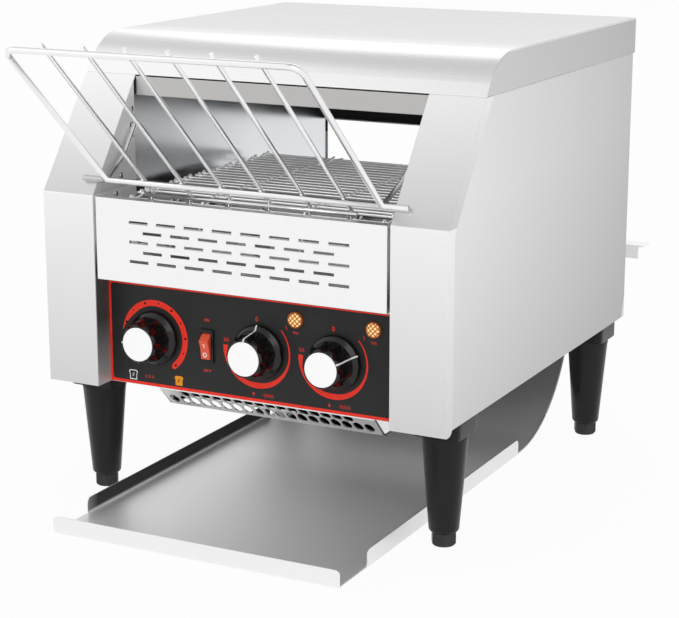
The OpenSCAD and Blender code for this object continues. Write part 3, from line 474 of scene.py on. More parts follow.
SHEET = Finish("satin_sheet", grey(0.78), grey(0.82), 0.3, 0.4, Texture.BRUSHED, 0.9, Grain.UP, relief=0.0015)
SIDE_SHEET = Finish("satin_side_painted_shade", grey(0.83), grey(0.86), 0.3, 0.4, Texture.BRUSHED, 0.92, Grain.UP, relief=0.0015,
                    painted_shades=SIDE_PAINTED_SHADES)
COLUMN_SHEET = Finish("satin_column_painted_shade", grey(0.92), grey(0.95), 0.26, 0.36, Texture.BRUSHED, 0.88, Grain.UP,
                      relief=0.0015, painted_shades=(SLOPE_PAINTED_SHADE, FRONT_PAINTED_SHADE, *RETURN_PAINTED_SHADES))
LID_SHEET = Finish("satin_lid_painted_shade", grey(0.93), grey(0.96), 0.24, 0.32, Texture.BRUSHED, 0.95, Grain.ACROSS,
                   relief=0.0015, painted_shades=(LID_TOP_PAINTED_SHADE, *LID_SKIRT_PAINTED_SHADES))
# Painted light: a less metallic copy of the column finish, so the returns' inward faces read lighter; it keeps the
# column's painted shade.
LIT_RETURN_SHEET = replace(COLUMN_SHEET, name="satin_return_painted_light_and_shade", metallic=0.25)
FRONT_SHEET = Finish("satin_front", grey(0.95), grey(0.98), 0.26, 0.34, Texture.BRUSHED, 0.85, Grain.ACROSS,
                     relief=0.001)
HEADER_SHEET = Finish("satin_header", grey(0.52, -0.012), grey(0.56, -0.012), 0.28, 0.36, Texture.BRUSHED, 0.9,
                      Grain.ACROSS, relief=0.001)
POLISHED = Finish("polished_lining_painted_shade", grey(0.78, 0.02), grey(0.84, 0.02), 0.16, 0.24, metallic=1.0, fineness=9.0,
                  painted_shades=(LINING_PAINTED_SHADE,))
TRAY_SHEET = Finish("satin_tray_painted_shade", grey(0.94), grey(0.97), 0.38, 0.48, Texture.BRUSHED, 0.7, Grain.BACK, relief=0.001,
                    painted_shades=(*TRAY_WALL_PAINTED_SHADES, TRAY_FLOOR_PAINTED_SHADE, TRAY_CHUTE_PAINTED_SHADE))
SCOOP_SHEET = replace(SHEET, name="satin_scoop_painted_shade", dark=grey(0.9), light=grey(0.94), grain=Grain.ACROSS,
                      painted_shades=(SCOOP_PAINTED_SHADE,))
REAR_SHEET = replace(SHEET, name="satin_rear_painted_shade", painted_shades=(TUNNEL_END_PAINTED_SHADE,))
REFLECTOR = Finish("bright_reflector", grey(0.72), grey(0.82), 0.12, 0.2, metallic=1.0, fineness=12.0)
# Heat tint and painted shade: kept near black, so the deck, the lower reflector and the belt guides read as the shade
# under the belt.
SHADED_HOT_SHEET = Finish("heat_tint_and_painted_shade_sheet", (0.06, 0.056, 0.055), (0.14, 0.13, 0.125), 0.3, 0.5, metallic=1.0,
                   fineness=22.0)
BRIGHT_WIRE = Finish("bright_wire", grey(0.8), grey(0.88), 0.08, 0.18, metallic=1.0, fineness=60.0)
# Painted light: the glow brightens the belt wires.
BELT_WIRE = Finish("belt_wire", grey(0.94), grey(0.99), 0.16, 0.28, metallic=0.8, fineness=45.0, glow_and_painted_light=0.12)
SCREW_STEEL = Finish("screw_steel", grey(0.5), grey(0.62), 0.2, 0.32, metallic=1.0, fineness=300.0)
SHAFT_STEEL = Finish("turned_steel", grey(0.4), grey(0.52), 0.2, 0.34, Texture.BRUSHED, 1.0, Grain.UP,
                     relief=0.003)
SHEATH = Finish("heater_sheath", (0.05, 0.052, 0.06), (0.12, 0.1, 0.09), 0.4, 0.6, metallic=0.6, fineness=70.0,
                relief=0.01)
CERAMIC = Finish("white_ceramic", (0.66, 0.64, 0.58), (0.78, 0.76, 0.7), 0.35, 0.55, Texture.MOULDED,
                 fineness=900.0, relief=0.01)
BRASS = Finish("bush_brass", (0.52, 0.36, 0.14), (0.68, 0.5, 0.22), 0.22, 0.36, metallic=1.0, fineness=80.0)
MOTOR_PAINT = Finish("motor_paint", grey(0.09), grey(0.13), 0.35, 0.5, Texture.MOULDED, fineness=1200.0,
                     relief=0.01)
FAN_PLASTIC = Finish("fan_plastic", grey(0.018), grey(0.03), 0.35, 0.5, Texture.MOULDED, relief=0.006, gloss=0.3)
CHARCOAL = Finish("charcoal_face", grey(0.022), grey(0.028), 0.45, 0.55, Texture.MOULDED, relief=0.004, gloss=0.22)
REGULATOR = Finish("regulator_shell", grey(0.3), grey(0.42), 0.35, 0.5, metallic=0.8, fineness=50.0)
GLOSS_BLACK = Finish("gloss_black", grey(0.003), grey(0.005), 0.1, 0.16, fineness=60.0, gloss=0.42)
# Painted light: the glow brightens the knob caps.
CAP_SILVER = Finish("spun_cap", grey(0.96), grey(0.98), 0.3, 0.38, metallic=0.4, fineness=120.0, glow_and_painted_light=0.1)
BEZEL_BLACK = Finish("bezel_black", grey(0.008), grey(0.014), 0.3, 0.4, Texture.MOULDED, relief=0.004, gloss=0.3)
# Painted light: the glow brightens the rocker key.
ROCKER_RED = Finish("rocker_red", (0.86, 0.02, 0.004), (0.95, 0.04, 0.008), 0.2, 0.28, fineness=90.0, gloss=0.15,
                    glow_and_painted_light=0.55)
LAMP_LENS = Finish("amber_lens", (0.3, 0.045, 0.002), (1.0, 0.68, 0.28), 0.14, 0.22, Texture.LATTICE,
                   fineness=800.0, glow_and_painted_light=0.5, relief=0.12, gloss=0.3)
LAMP_RIM = Finish("amber_rim", (0.3, 0.07, 0.008), (0.46, 0.12, 0.015), 0.16, 0.26, fineness=200.0)
LEG_BLACK = Finish("satin_black", grey(0.007), grey(0.011), 0.26, 0.36, Texture.MOULDED, fineness=900.0, relief=0.006,
                   gloss=0.24)
FOOT_BLACK = Finish("foot_black", grey(0.024), grey(0.04), 0.4, 0.55, Texture.MOULDED, relief=0.01, gloss=0.3)
GLAND_BLACK = Finish("gland_black", grey(0.012), grey(0.02), 0.4, 0.55, Texture.MOULDED, relief=0.008, gloss=0.3)
# Painted light: the glow brightens the red print.
INK_RED = Finish("red_print", (0.8, 0.03, 0.016), (0.9, 0.045, 0.024), 0.4, 0.5, fineness=200.0, gloss=0.2,
                 glow_and_painted_light=0.12)
INK_WHITE = Finish("white_print", grey(0.86), grey(0.92), 0.4, 0.5, fineness=200.0, gloss=0.3)
INK_ORANGE = Finish("orange_print", (0.9, 0.3, 0.01), (0.96, 0.38, 0.02), 0.4, 0.5, fineness=200.0, gloss=0.2)
INK_BLACK = Finish("black_print", grey(0.008), grey(0.012), 0.4, 0.5, fineness=200.0, gloss=0.2)

FINISH_OF_SLOT = {
    "casing_steel": SHEET,
    "polished_steel": POLISHED,
    "tray_steel": TRAY_SHEET,
    "bright_wire": BRIGHT_WIRE,
    "fastener_steel": SCREW_STEEL,
    "shaft_steel": SHAFT_STEEL,
    "heater_sheath": SHEATH,
    "ceramic": CERAMIC,
    "bush_brass": BRASS,
    "motor_grey": MOTOR_PAINT,
    "fan_black": FAN_PLASTIC,
    "control_charcoal": CHARCOAL,
    "regulator_grey": REGULATOR,
    "knob_black": GLOSS_BLACK,
    "cap_silver": CAP_SILVER,
    "rocker_red": ROCKER_RED,
    "lamp_amber": LAMP_LENS,
    "leg_black": LEG_BLACK,
    "gland_black": GLAND_BLACK,
}


# ---------------------------------------------------------------- making pieces


def finished(piece: bpy.types.Object, finish: Finish) -> bpy.types.Object:
    """Gives a piece one material, in all the slots that it has or in a new one.

    Args:
        piece: the object to dress.
        finish: how it looks.

    Returns:
        The same object.
    """
    material = finish.material()
    if not piece.material_slots:
        piece.data.materials.append(material)
    for holder in piece.material_slots:
        holder.material = material
    return piece


def placed(name: str, data: bpy.types.ID) -> bpy.types.Object:
    """Puts a new object with its mesh, lamp or camera into the scene."""
    made = bpy.data.objects.new(name, data)
    bpy.context.scene.collection.objects.link(made)
    return made


def aimed(name: str, data: bpy.types.ID, place: Vector, way: Vector) -> bpy.types.Object:
    """Puts a lamp or camera into the scene.

    Args:
        name: the object's name.
        data: the lamp or camera.
        place: where it stands, in metres.
        way: the way that it looks.

    Returns:
        The new object.
    """
    made = placed(name, data)
    made.location = place
    made.rotation_mode = "QUATERNION"
    made.rotation_quaternion = way.to_track_quat("-Z", "Y")
    return made


def welded(node: str) -> bmesh.types.BMesh:
    """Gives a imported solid's mesh, with vertices that lie in one place joined."""
    maker = bmesh.new()
    maker.from_mesh(frame["nodes"][node].data)
    bmesh.ops.remove_doubles(maker, verts=maker.verts, dist=WELD * MM)
    return maker


def piece_from(name: str, maker: bmesh.types.BMesh, body: str, finish: Finish,
               sharp: float = 35.0) -> bpy.types.Object:
    """Turns a finished mesh under construction into a piece that rides on a body.

    Args:
        name: the piece's name.
        maker: the mesh, which is freed.
        body: the body that it moves with.
        finish: how it looks.
        sharp: edges steeper than this many degrees stay sharp.

    Returns:
        The new object.
    """
    bmesh.ops.recalc_face_normals(maker, faces=maker.faces)
    mesh = bpy.data.meshes.new(name)
    maker.to_mesh(mesh)
    maker.free()
    mesh.shade_smooth()
    mesh.set_sharp_from_angle(angle=math.radians(sharp))
    piece = placed(name, mesh)
    finished(piece, finish)
    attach(piece, body)
    return piece


def rounded(piece: bpy.types.Object, width: float, segments: int, method: str) -> bpy.types.Modifier:
    """Rounds a piece's edges.

    Args:
        piece: the object.
        width: the radius, in millimetres.
        segments: how many steps it has.
        method: whether the edges' weights or their angles tell which are rounded.

    Returns:
        The modifier.
    """
    bevel = piece.modifiers.new("rounded_edges", "BEVEL")
    bevel.limit_method = method
    bevel.width = width * MM
    bevel.segments = segments
    return bevel


@dataclass(frozen=True)
class Softening:
    """How the sharp edges of a solid are rounded: its folds and its cut edges, in millimetres.

    A fold lies between two faces that are broader than a set width. Angles are degrees.
    """

    fold: float = 0.9
    cut: float = 0.3
    broad: float = 2.2
    segments: int = 3
    flat: float = 0.4
    sharp: float = 30.0

    def weigh(self, maker: bmesh.types.BMesh) -> None:
        """Marks each sharp edge with its share of the full radius.

        Args:
            maker: the welded mesh.
        """
        share = maker.edges.layers.float.new("bevel_weight_edge")
        for edge in maker.edges:
            if len(edge.link_faces) != 2 or edge.calc_face_angle() < math.radians(self.sharp):
                continue
            widths = [face.calc_area() / max(side.calc_length() for side in face.edges)
                      for face in edge.link_faces]
            fold = edge.is_convex and min(widths) > self.broad * MM
            edge[share] = 1.0 if fold else self.cut / self.fold

    def copy_of(self, node: str, finish: Finish | None = None) -> bpy.types.Object:
        """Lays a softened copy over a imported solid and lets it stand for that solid.

        Args:
            node: the solid's name.
            finish: how the copy looks, or the usual finish of the solid's slot.

        Returns:
            The copy.
        """
        maker = welded(node)
        bmesh.ops.dissolve_limit(maker, angle_limit=math.radians(self.flat), verts=maker.verts, edges=maker.edges)
        self.weigh(maker)
        chosen = finish or FINISH_OF_SLOT[SLOT_OF[node]]
        piece = piece_from(node + "_surface", maker, BODY_OF[node], chosen)
        rounded(piece, self.fold, self.segments, "WEIGHT").harden_normals = True
        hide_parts(node)
        return piece


FOLDED = Softening()
MOULDED = Softening(fold=0.5, cut=0.25, broad=1.5)
MACHINED = Softening(fold=0.3, cut=0.15, broad=1.0, segments=2)


FACING = 0.99


def second_finish(piece: bpy.types.Object, finish: Finish, side: Vector, reach: float) -> None:
    """Gives the faces that look one way, and lie no further that way than a limit, a finish of their own.

    Args:
        piece: the object to dress.
        finish: how these faces look.
        side: the way that they look, of length 1.
        reach: the limit, in metres along that way from the origin.
    """
    piece.data.materials.append(finish.material())
    for face in piece.data.polygons:
        if face.normal.dot(side) > FACING and face.center.dot(side) < reach:
            face.material_index = len(piece.data.materials) - 1


def dressed(node: str, finish: Finish | None = None) -> bpy.types.Object:
    """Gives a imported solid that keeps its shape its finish.

    Args:
        node: the solid's name.
        finish: how it looks, or the usual finish of the solid's slot.

    Returns:
        The solid's object.
    """
    return finished(frame["nodes"][node], finish or FINISH_OF_SLOT[SLOT_OF[node]])


def bridged(maker: bmesh.types.BMesh, low: Sequence[bmesh.types.BMVert], high: Sequence[bmesh.types.BMVert]) -> None:
    """Joins two closed rows of vertices with faces. Either row may be a single vertex."""
    count = max(len(low), len(high))
    for step in range(count):
        after = (step + 1) % count
        corners = [low[step % len(low)], low[after % len(low)], high[after % len(high)], high[step % len(high)]]
        maker.faces.new(list(dict.fromkeys(corners)))


def lathe(maker: bmesh.types.BMesh, profile: Sequence[Point], place: Placer, segments: int = 96,
          reach: Callable[[float, float, float], float] | None = None) -> None:
    """Turns a profile about its axis into a closed surface.

    Args:
        maker: the mesh to add to.
        profile: pairs of radius and height, the first and last of radius 0.
        place: turns two places across the axis and one along it into metres.
        segments: how many steps the turn has.
        reach: changes a radius by its angle and height, for flutes and squared forms.
    """
    rows = []
    for radius, height in profile:
        if radius == 0:
            rows.append([maker.verts.new(place(0, 0, height))])
            continue
        row = []
        for step in range(segments):
            turn = 2 * math.pi * step / segments
            out = reach(turn, radius, height) if reach else radius
            row.append(maker.verts.new(place(out * math.cos(turn), out * math.sin(turn), height)))
        rows.append(row)
    for low, high in zip(rows, rows[1:]):
        bridged(maker, low, high)


def flat_solid(maker: bmesh.types.BMesh, loops: Iterable[Sequence[Point]], place: Callable[[float, float], Vector],
               rise: Vector) -> None:
    """Adds a thin closed solid with the outline of one or more loops, of which inner ones are holes.

    Args:
        maker: the mesh to add to.
        loops: outlines as pairs of x and z.
        place: turns such a pair into metres on the surface.
        rise: the solid's thickness and the way it stands out.
    """
    edges = []
    for loop in loops:
        verts = [maker.verts.new(place(*point)) for point in loop]
        edges += [maker.edges.new(pair) for pair in zip(verts, verts[1:] + verts[:1])]
    filled = bmesh.ops.triangle_fill(maker, edges=edges, use_beauty=True)
    faces = [item for item in filled["geom"] if isinstance(item, bmesh.types.BMFace)]
    grown = bmesh.ops.extrude_face_region(maker, geom=faces, use_keep_orig=True)
    moved = [item for item in grown["geom"] if isinstance(item, bmesh.types.BMVert)]
    bmesh.ops.translate(maker, verts=moved, vec=rise)


# ---------------------------------------------------------------- outlines for prints


def circle_loop(x: float, z: float, across: float, up: float | None = None, steps: int = 28) -> list[Point]:
    """Gives a circle or an upright oval, by its half sizes."""
    up = up or across
    turns = [2 * math.pi * step / steps for step in range(steps)]
    return [(x + across * math.cos(turn), z + up * math.sin(turn)) for turn in turns]


def arc_points(x: float, z: float, radius: float, start: float, end: float, steps: int = 8) -> list[Point]:
    """Gives the points of an arc, with its ends in degrees."""
    turns = [math.radians(start + (end - start) * step / steps) for step in range(steps + 1)]
    return [(x + radius * math.cos(turn), z + radius * math.sin(turn)) for turn in turns]


def rectangle_loop(left: float, right: float, low: float, high: float) -> list[Point]:
    """Gives a rectangle."""
    return [(left, low), (right, low), (right, high), (left, high)]


def rounded_loop(left: float, right: float, low: float, high: float, radius: float) -> list[Point]:
    """Gives a rectangle with round corners."""
    points = []
    for x, z, start in ((right, high, 0), (left, high, 90), (left, low, 180), (right, low, 270)):
        middle_x = x - math.copysign(radius, x - (left + right) / 2)
        middle_z = z - math.copysign(radius, z - (low + high) / 2)
        points += arc_points(middle_x, middle_z, radius, start, start + 90)
    return points


def shifted(points: Iterable[Point], x: float, z: float) -> list[Point]:
    """Gives points moved across and up."""
    return [(x + a, z + b) for a, b in points]


def stroke_loop(points: Sequence[Point], width: float) -> list[Point]:
    """Gives the outline of a line of even width through some points."""
    sides: tuple[list[Point], list[Point]] = ([], [])
    for index, (x, z) in enumerate(points):
        before = points[max(index - 1, 0)]
        after = points[min(index + 1, len(points) - 1)]
        along = Vector((after[0] - before[0], after[1] - before[1])).normalized()
        for side, sign in zip(sides, (0.5, -0.5)):
            side.append((x - along.y * width * sign, z + along.x * width * sign))
    return sides[0] + sides[1][::-1]


def band_loop(x: float, z: float, keys: Sequence[Place], steps: int = 90) -> list[Point]:
    """Gives a curved band round a dial.

    Args:
        x: the dial's place across.
        z: the dial's height.
        keys: angle in degrees, inner and outer radius of each place where the band changes.
        steps: how finely the band is cut.

    Returns:
        The band's outline.
    """
    inner, outer = [], []
    for step in range(steps + 1):
        turn = keys[0][0] + (keys[-1][0] - keys[0][0]) * step / steps
        for (a, low_a, high_a), (b, low_b, high_b) in zip(keys, keys[1:]):
            if (turn - a) * (turn - b) <= 0:
                share = (turn - a) / (b - a)
                low, high = low_a + (low_b - low_a) * share, high_a + (high_b - high_a) * share
                break
        way = (math.cos(math.radians(turn)), math.sin(math.radians(turn)))
        inner.append((x + low * way[0], z + low * way[1]))
        outer.append((x + high * way[0], z + high * way[1]))
    return outer + inner[::-1]


# ---------------------------------------------------------------- sub-assemblies


@dataclass
class Casing:
    """The folded sheet body, seen from all round."""

    return_x: float = 133.0

    def build(self) -> None:
        """Softens and dresses the sheets."""
        FOLDED.copy_of("top_cover", LID_SHEET)
        for side, inward in (("left", 1), ("right", -1)):
            FOLDED.copy_of("side_panel_" + side, SIDE_SHEET)
            column = FOLDED.copy_of("front_column_" + side, COLUMN_SHEET)
            # Painted light: the inward faces of each return take the lighter return finish.
            second_finish(column, LIT_RETURN_SHEET, Vector((inward, 0, 0)), -self.return_x * MM)
            FOLDED.copy_of("inner_wall_" + side)
        # Painted shade: the deck plate takes the near-black heat-tinted sheet.
        for node, finish in (("vent_panel", FRONT_SHEET), ("header_strip", HEADER_SHEET), ("control_plate", None),
                             ("rear_panel", REAR_SHEET), ("base_plate", None), ("deck_plate", SHADED_HOT_SHEET),
                             ("rear_spacer", FRONT_SHEET)):
            FOLDED.copy_of(node, finish)
        for node in ("cord_gland", "terminal_block"):
            MOULDED.copy_of(node)


@dataclass
class AirScoop:
    """The scoop under the front: a slanted panel with two nested rows of oval holes, and a box behind it."""

    top_y: float = -186.9
    top_z: float = 104.0
    drop: float = 19.0
    rear_y: float = 70.0
    left: float = -89.0
    right: float = 111.0
    roof_z: float = 107.0
    neck: float = 12.5
    sheet: float = 1.2
    pitch: float = 10.1
    hole_half: float = 4.15
    hole_long: float = 6.5
    lead: float = 8.2
    rows: tuple[Point, ...] = ((17.4, 0.0), (5.6, 15.15))
    end_gap: float = 9.0
    hem: float = 1.0
    hem_slant: float = 0.02
    slot_left: float = -84.0
    slot_right: float = 20.0
    slot_front: float = 3.0
    slot_rear: float = 22.0
    slot_round: float = 3.0

    def slope(self, x: float, down: float) -> Vector:
        """Turns a place across and down the slanted panel into metres."""
        return at(x, self.top_y + down * math.sqrt(0.5), self.top_z - down * math.sqrt(0.5))

    def holes(self) -> list[list[Point]]:
        """Gives the outline of each hole, of which the upper ones are cut off at the fold."""
        found = []
        for down, inset in self.rows:
            x = self.left + self.lead + inset
            while x <= self.right - self.end_gap - inset:
                loop = circle_loop(x, down, self.hole_half, self.hole_long, 24)
                found.append([(a, max(b, self.hem + self.hem_slant * (a - x))) for a, b in loop])
                x += self.pitch
        return found

    def build(self) -> None:
        """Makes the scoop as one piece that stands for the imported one."""
        maker = bmesh.new()
        t, low_z, low_y = self.sheet, self.top_z - self.drop, self.top_y + self.drop
        neck_y = self.top_y + self.neck
        panel = rectangle_loop(self.left, self.right, 0, self.drop * math.sqrt(2))
        flat_solid(maker, [panel, *self.holes()], self.slope, Vector((0, 1, 1)).normalized() * t * MM)
        floor = rectangle_loop(self.left, self.right, low_y, self.rear_y)
        slot = rounded_loop(self.slot_left, self.slot_right, low_y + self.slot_front, low_y + self.slot_rear,
                            self.slot_round)
        flat_solid(maker, [floor, slot], lambda x, y: at(x, y, low_z), Vector((0, 0, t * MM)))
        for y, base in ((self.rear_y, low_z), (neck_y, self.top_z - t)):
            wall = rectangle_loop(self.left, self.right, base, self.roof_z)
            flat_solid(maker, [wall], lambda x, z, y=y: at(x, y, z), Vector((0, -t * MM, 0)))
        hem = rectangle_loop(self.left, self.right, self.top_y, neck_y)
        flat_solid(maker, [hem], lambda x, y: at(x, y, self.top_z), Vector((0, 0, -t * MM)))
        end = [(self.top_y, self.top_z), (low_y, low_z), (self.rear_y, low_z), (self.rear_y, self.roof_z),
               (neck_y, self.roof_z), (neck_y, self.top_z)]
        for x, way in ((self.left, 1), (self.right, -1)):
            flat_solid(maker, [end], lambda y, z, x=x: at(x, y, z), Vector((way * t * MM, 0, 0)))
        piece = piece_from("scoop_surface", maker, "casing", SCOOP_SHEET)
        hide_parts("air_intake")


@dataclass
class Screws:
    """Pan-head screws with a cross recess, in place of the plain heads."""

    radius: float = 2.6
    height: float = 1.8
    rim: float = 0.7
    dome: float = 1.1
    slot_half: float = 0.42
    slot_reach: float = 1.45
    slot_deep: float = 1.0
    slot_from: float = 1.0
    column_x: float = 134.0
    column_seats: tuple[Point, ...] = ((-166.5, 275.0), (-174.5, 261.0))
    rear_y: float = 207.1
    rear_x: float = 174.1
    rear_zs: tuple[float, ...] = (115.0, 227.0, 339.0)
    arm_seat: Place = (158.0, 208.6, 157.0)

    def heads(self) -> list[tuple[Vector, Vector]]:
        """Gives the middle of each head's seat and the way that the head faces."""
        rearward = Vector((0, 1, 0))
        arm_x, arm_y, arm_z = self.arm_seat
        found = []
        for side in (-1, 1):
            for y, z in self.column_seats:
                found.append((at(side * self.column_x, y, z), Vector((-side, 0, 0))))
            for z in self.rear_zs:
                found.append((at(side * self.rear_x, self.rear_y, z), rearward))
            found.append((at(side * arm_x, arm_y, arm_z), rearward))
        return found

    def head(self, maker: bmesh.types.BMesh, seat: Vector, facing: Vector) -> None:
        """Adds one head.

        Args:
            maker: the mesh to add to.
            seat: the middle of its seat, in metres.
            facing: the way that it faces.
        """
        across = facing.orthogonal().normalized()
        up = facing.cross(across)
        top = self.height
        profile = [(0, 0), (self.radius, 0), (self.radius, self.rim)]
        profile += [(r, top - self.dome * (r / self.radius) ** 2) for r in (2.3, 2.0, 1.7, 1.5, 1.3, 1.1, 0.9)]
        profile += [(0.7, top - 0.05), (0.55, top), (0.4, top), (0, top)]

        def place(a: float, b: float, h: float) -> Vector:
            """Puts a point of the head in the model's frame, sunk where it lies in the cross."""
            near, far = sorted((abs(a), abs(b)))
            sunk = near < self.slot_half and far < self.slot_reach and h > self.slot_from
            return seat + (across * a + up * b + facing * (h - (self.slot_deep if sunk else 0))) * MM

        lathe(maker, profile, place, segments=48)

    def build(self) -> None:
        """Makes all heads as one piece."""
        maker = bmesh.new()
        for seat, facing in self.heads():
            self.head(maker, seat, facing)
        piece = piece_from("screw_heads", maker, "casing", SCREW_STEEL)
        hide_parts("casing_screws")


@dataclass
class Knob:
    """One control knob with its flutes, bright cap and pointer line."""

    control: str
    pointer: float
    stand_off: float = 1.2
    socket_r: float = 9.0
    socket_deep: float = 4.0
    skirt_r: float = 22.5
    cap_r: float = 14.4
    top: float = 25.2
    cap_t: float = 0.6
    flutes: int = 9
    flute_r: float = 4.9
    flute_out: float = 5.4
    flute_low: float = 8.4
    ridge: float = 0.25
    line_width: float = 1.3
    line_low: float = 2.7
    line_sunk: float = 0.2
    line_proud: float = 0.12

    @property
    def body(self) -> str:
        """Gives the body that the knob turns with."""
        return self.control + "_control"

    def place(self, a: float, b: float, h: float) -> Vector:
        """Puts a point of the knob in the model's frame."""
        return at(DIAL_XS[self.control] + a, FACE_Y - self.stand_off - h, DIAL_Z + b)

    def profile(self) -> list[Point]:
        """Gives the knob's outside from its skirt to the rim of its cap."""
        r, c, t = self.skirt_r, self.cap_r, self.top
        return [
            (r - 0.5, 0), (r - 0.1, 0.2), (r, 0.6), (r, 2.7), (r - 0.15, 3.3), (r - 0.7, 4.0), (r - 1.4, 4.5),
            (r - 2.6, 5.2), (r - 3.8, 5.9), (r - 4.6, 6.4), (c + 4.6, 7.0), (c + 4.1, 7.5), (c + 3.98, 8.0),
            (c + 3.95, 8.3), (c + 3.93, 8.5), (c + 3.8, 9.6), (c + 3.4, 13), (c + 2.9, 17), (c + 2.4, 21),
            (c + 2.1, t - 2), (c + 1.7, t - 1.1), (c + 1.0, t - 0.5), (c + 0.3, t - 0.1), (c - 0.1, t),
        ]

    def reach(self, turn: float, radius: float, height: float) -> float:
        """Cuts the finger flutes into the grip, with rounded ridges between them."""
        if height < self.flute_low:
            return radius
        pitch = 2 * math.pi / self.flutes
        off = (turn - math.radians(self.pointer)) % pitch - pitch / 2
        centre = self.cap_r + self.flute_out
        inside = self.flute_r ** 2 - (centre * math.sin(off)) ** 2
        if inside <= 0:
            return radius
        flute = centre * math.cos(off) - math.sqrt(inside)
        return -self.ridge * math.log(math.exp(-radius / self.ridge) + math.exp(-flute / self.ridge))

    def build(self) -> None:
        """Makes the grip, the cap and the pointer line."""
        knob, cap = self.control + "_knob", self.control + "_cap"
        maker = bmesh.new()
        socket = [(0, self.socket_deep), (self.socket_r, self.socket_deep), (self.socket_r, 0)]
        lathe(maker, [*socket, *self.profile(), (0, self.top)], self.place, 240, self.reach)
        grip = piece_from(self.control + "_grip", maker, self.body, GLOSS_BLACK)
        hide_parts(knob)
        maker = bmesh.new()
        r, low, high = self.cap_r - 0.4, self.top, self.top + self.cap_t
        rim = [(0, low), (r, low), (r, high - 0.25), (r - 0.1, high - 0.08), (r - 0.3, high), (r - 0.9, high - 0.02)]
        lathe(maker, [*rim, (r - 1.2, high - 0.12), (r - 1.5, high - 0.12), (0, high - 0.12)], self.place, 128)
        disc = piece_from(self.control + "_cap_disc", maker, self.body, CAP_SILVER)
        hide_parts(cap)
        self.line()
        dressed(self.control + "_shaft")

    def line(self) -> None:
        """Lays the pointer line along the knob's outside, from the skirt's rim to the cap."""
        turn = math.radians(self.pointer)
        out, side = (math.cos(turn), math.sin(turn)), (-math.sin(turn), math.cos(turn))
        path = [point for point in self.profile() if point[1] >= self.line_low]
        section = ((-self.line_sunk, -0.5), (self.line_proud, -0.5), (self.line_proud, 0.5), (-self.line_sunk, 0.5))
        maker = bmesh.new()
        rows = []
        for index, (radius, height) in enumerate(path):
            before, after = path[max(index - 1, 0)], path[min(index + 1, len(path) - 1)]
            along = Vector((after[0] - before[0], after[1] - before[1])).normalized()
            normal = Vector((along.y, -along.x))
            radius = self.reach(turn, radius, height)
            row = []
            for lift, half in section:
                r, h, w = radius + normal.x * lift, height + normal.y * lift, half * self.line_width
                row.append(maker.verts.new(self.place(out[0] * r + side[0] * w, out[1] * r + side[1] * w, h)))
            rows.append(row)
        for low, high in zip(rows, rows[1:]):
            bridged(maker, low, high)
        maker.faces.new(rows[0])
        maker.faces.new(rows[-1][::-1])
        piece_from(self.control + "_pointer", maker, self.body, INK_WHITE)


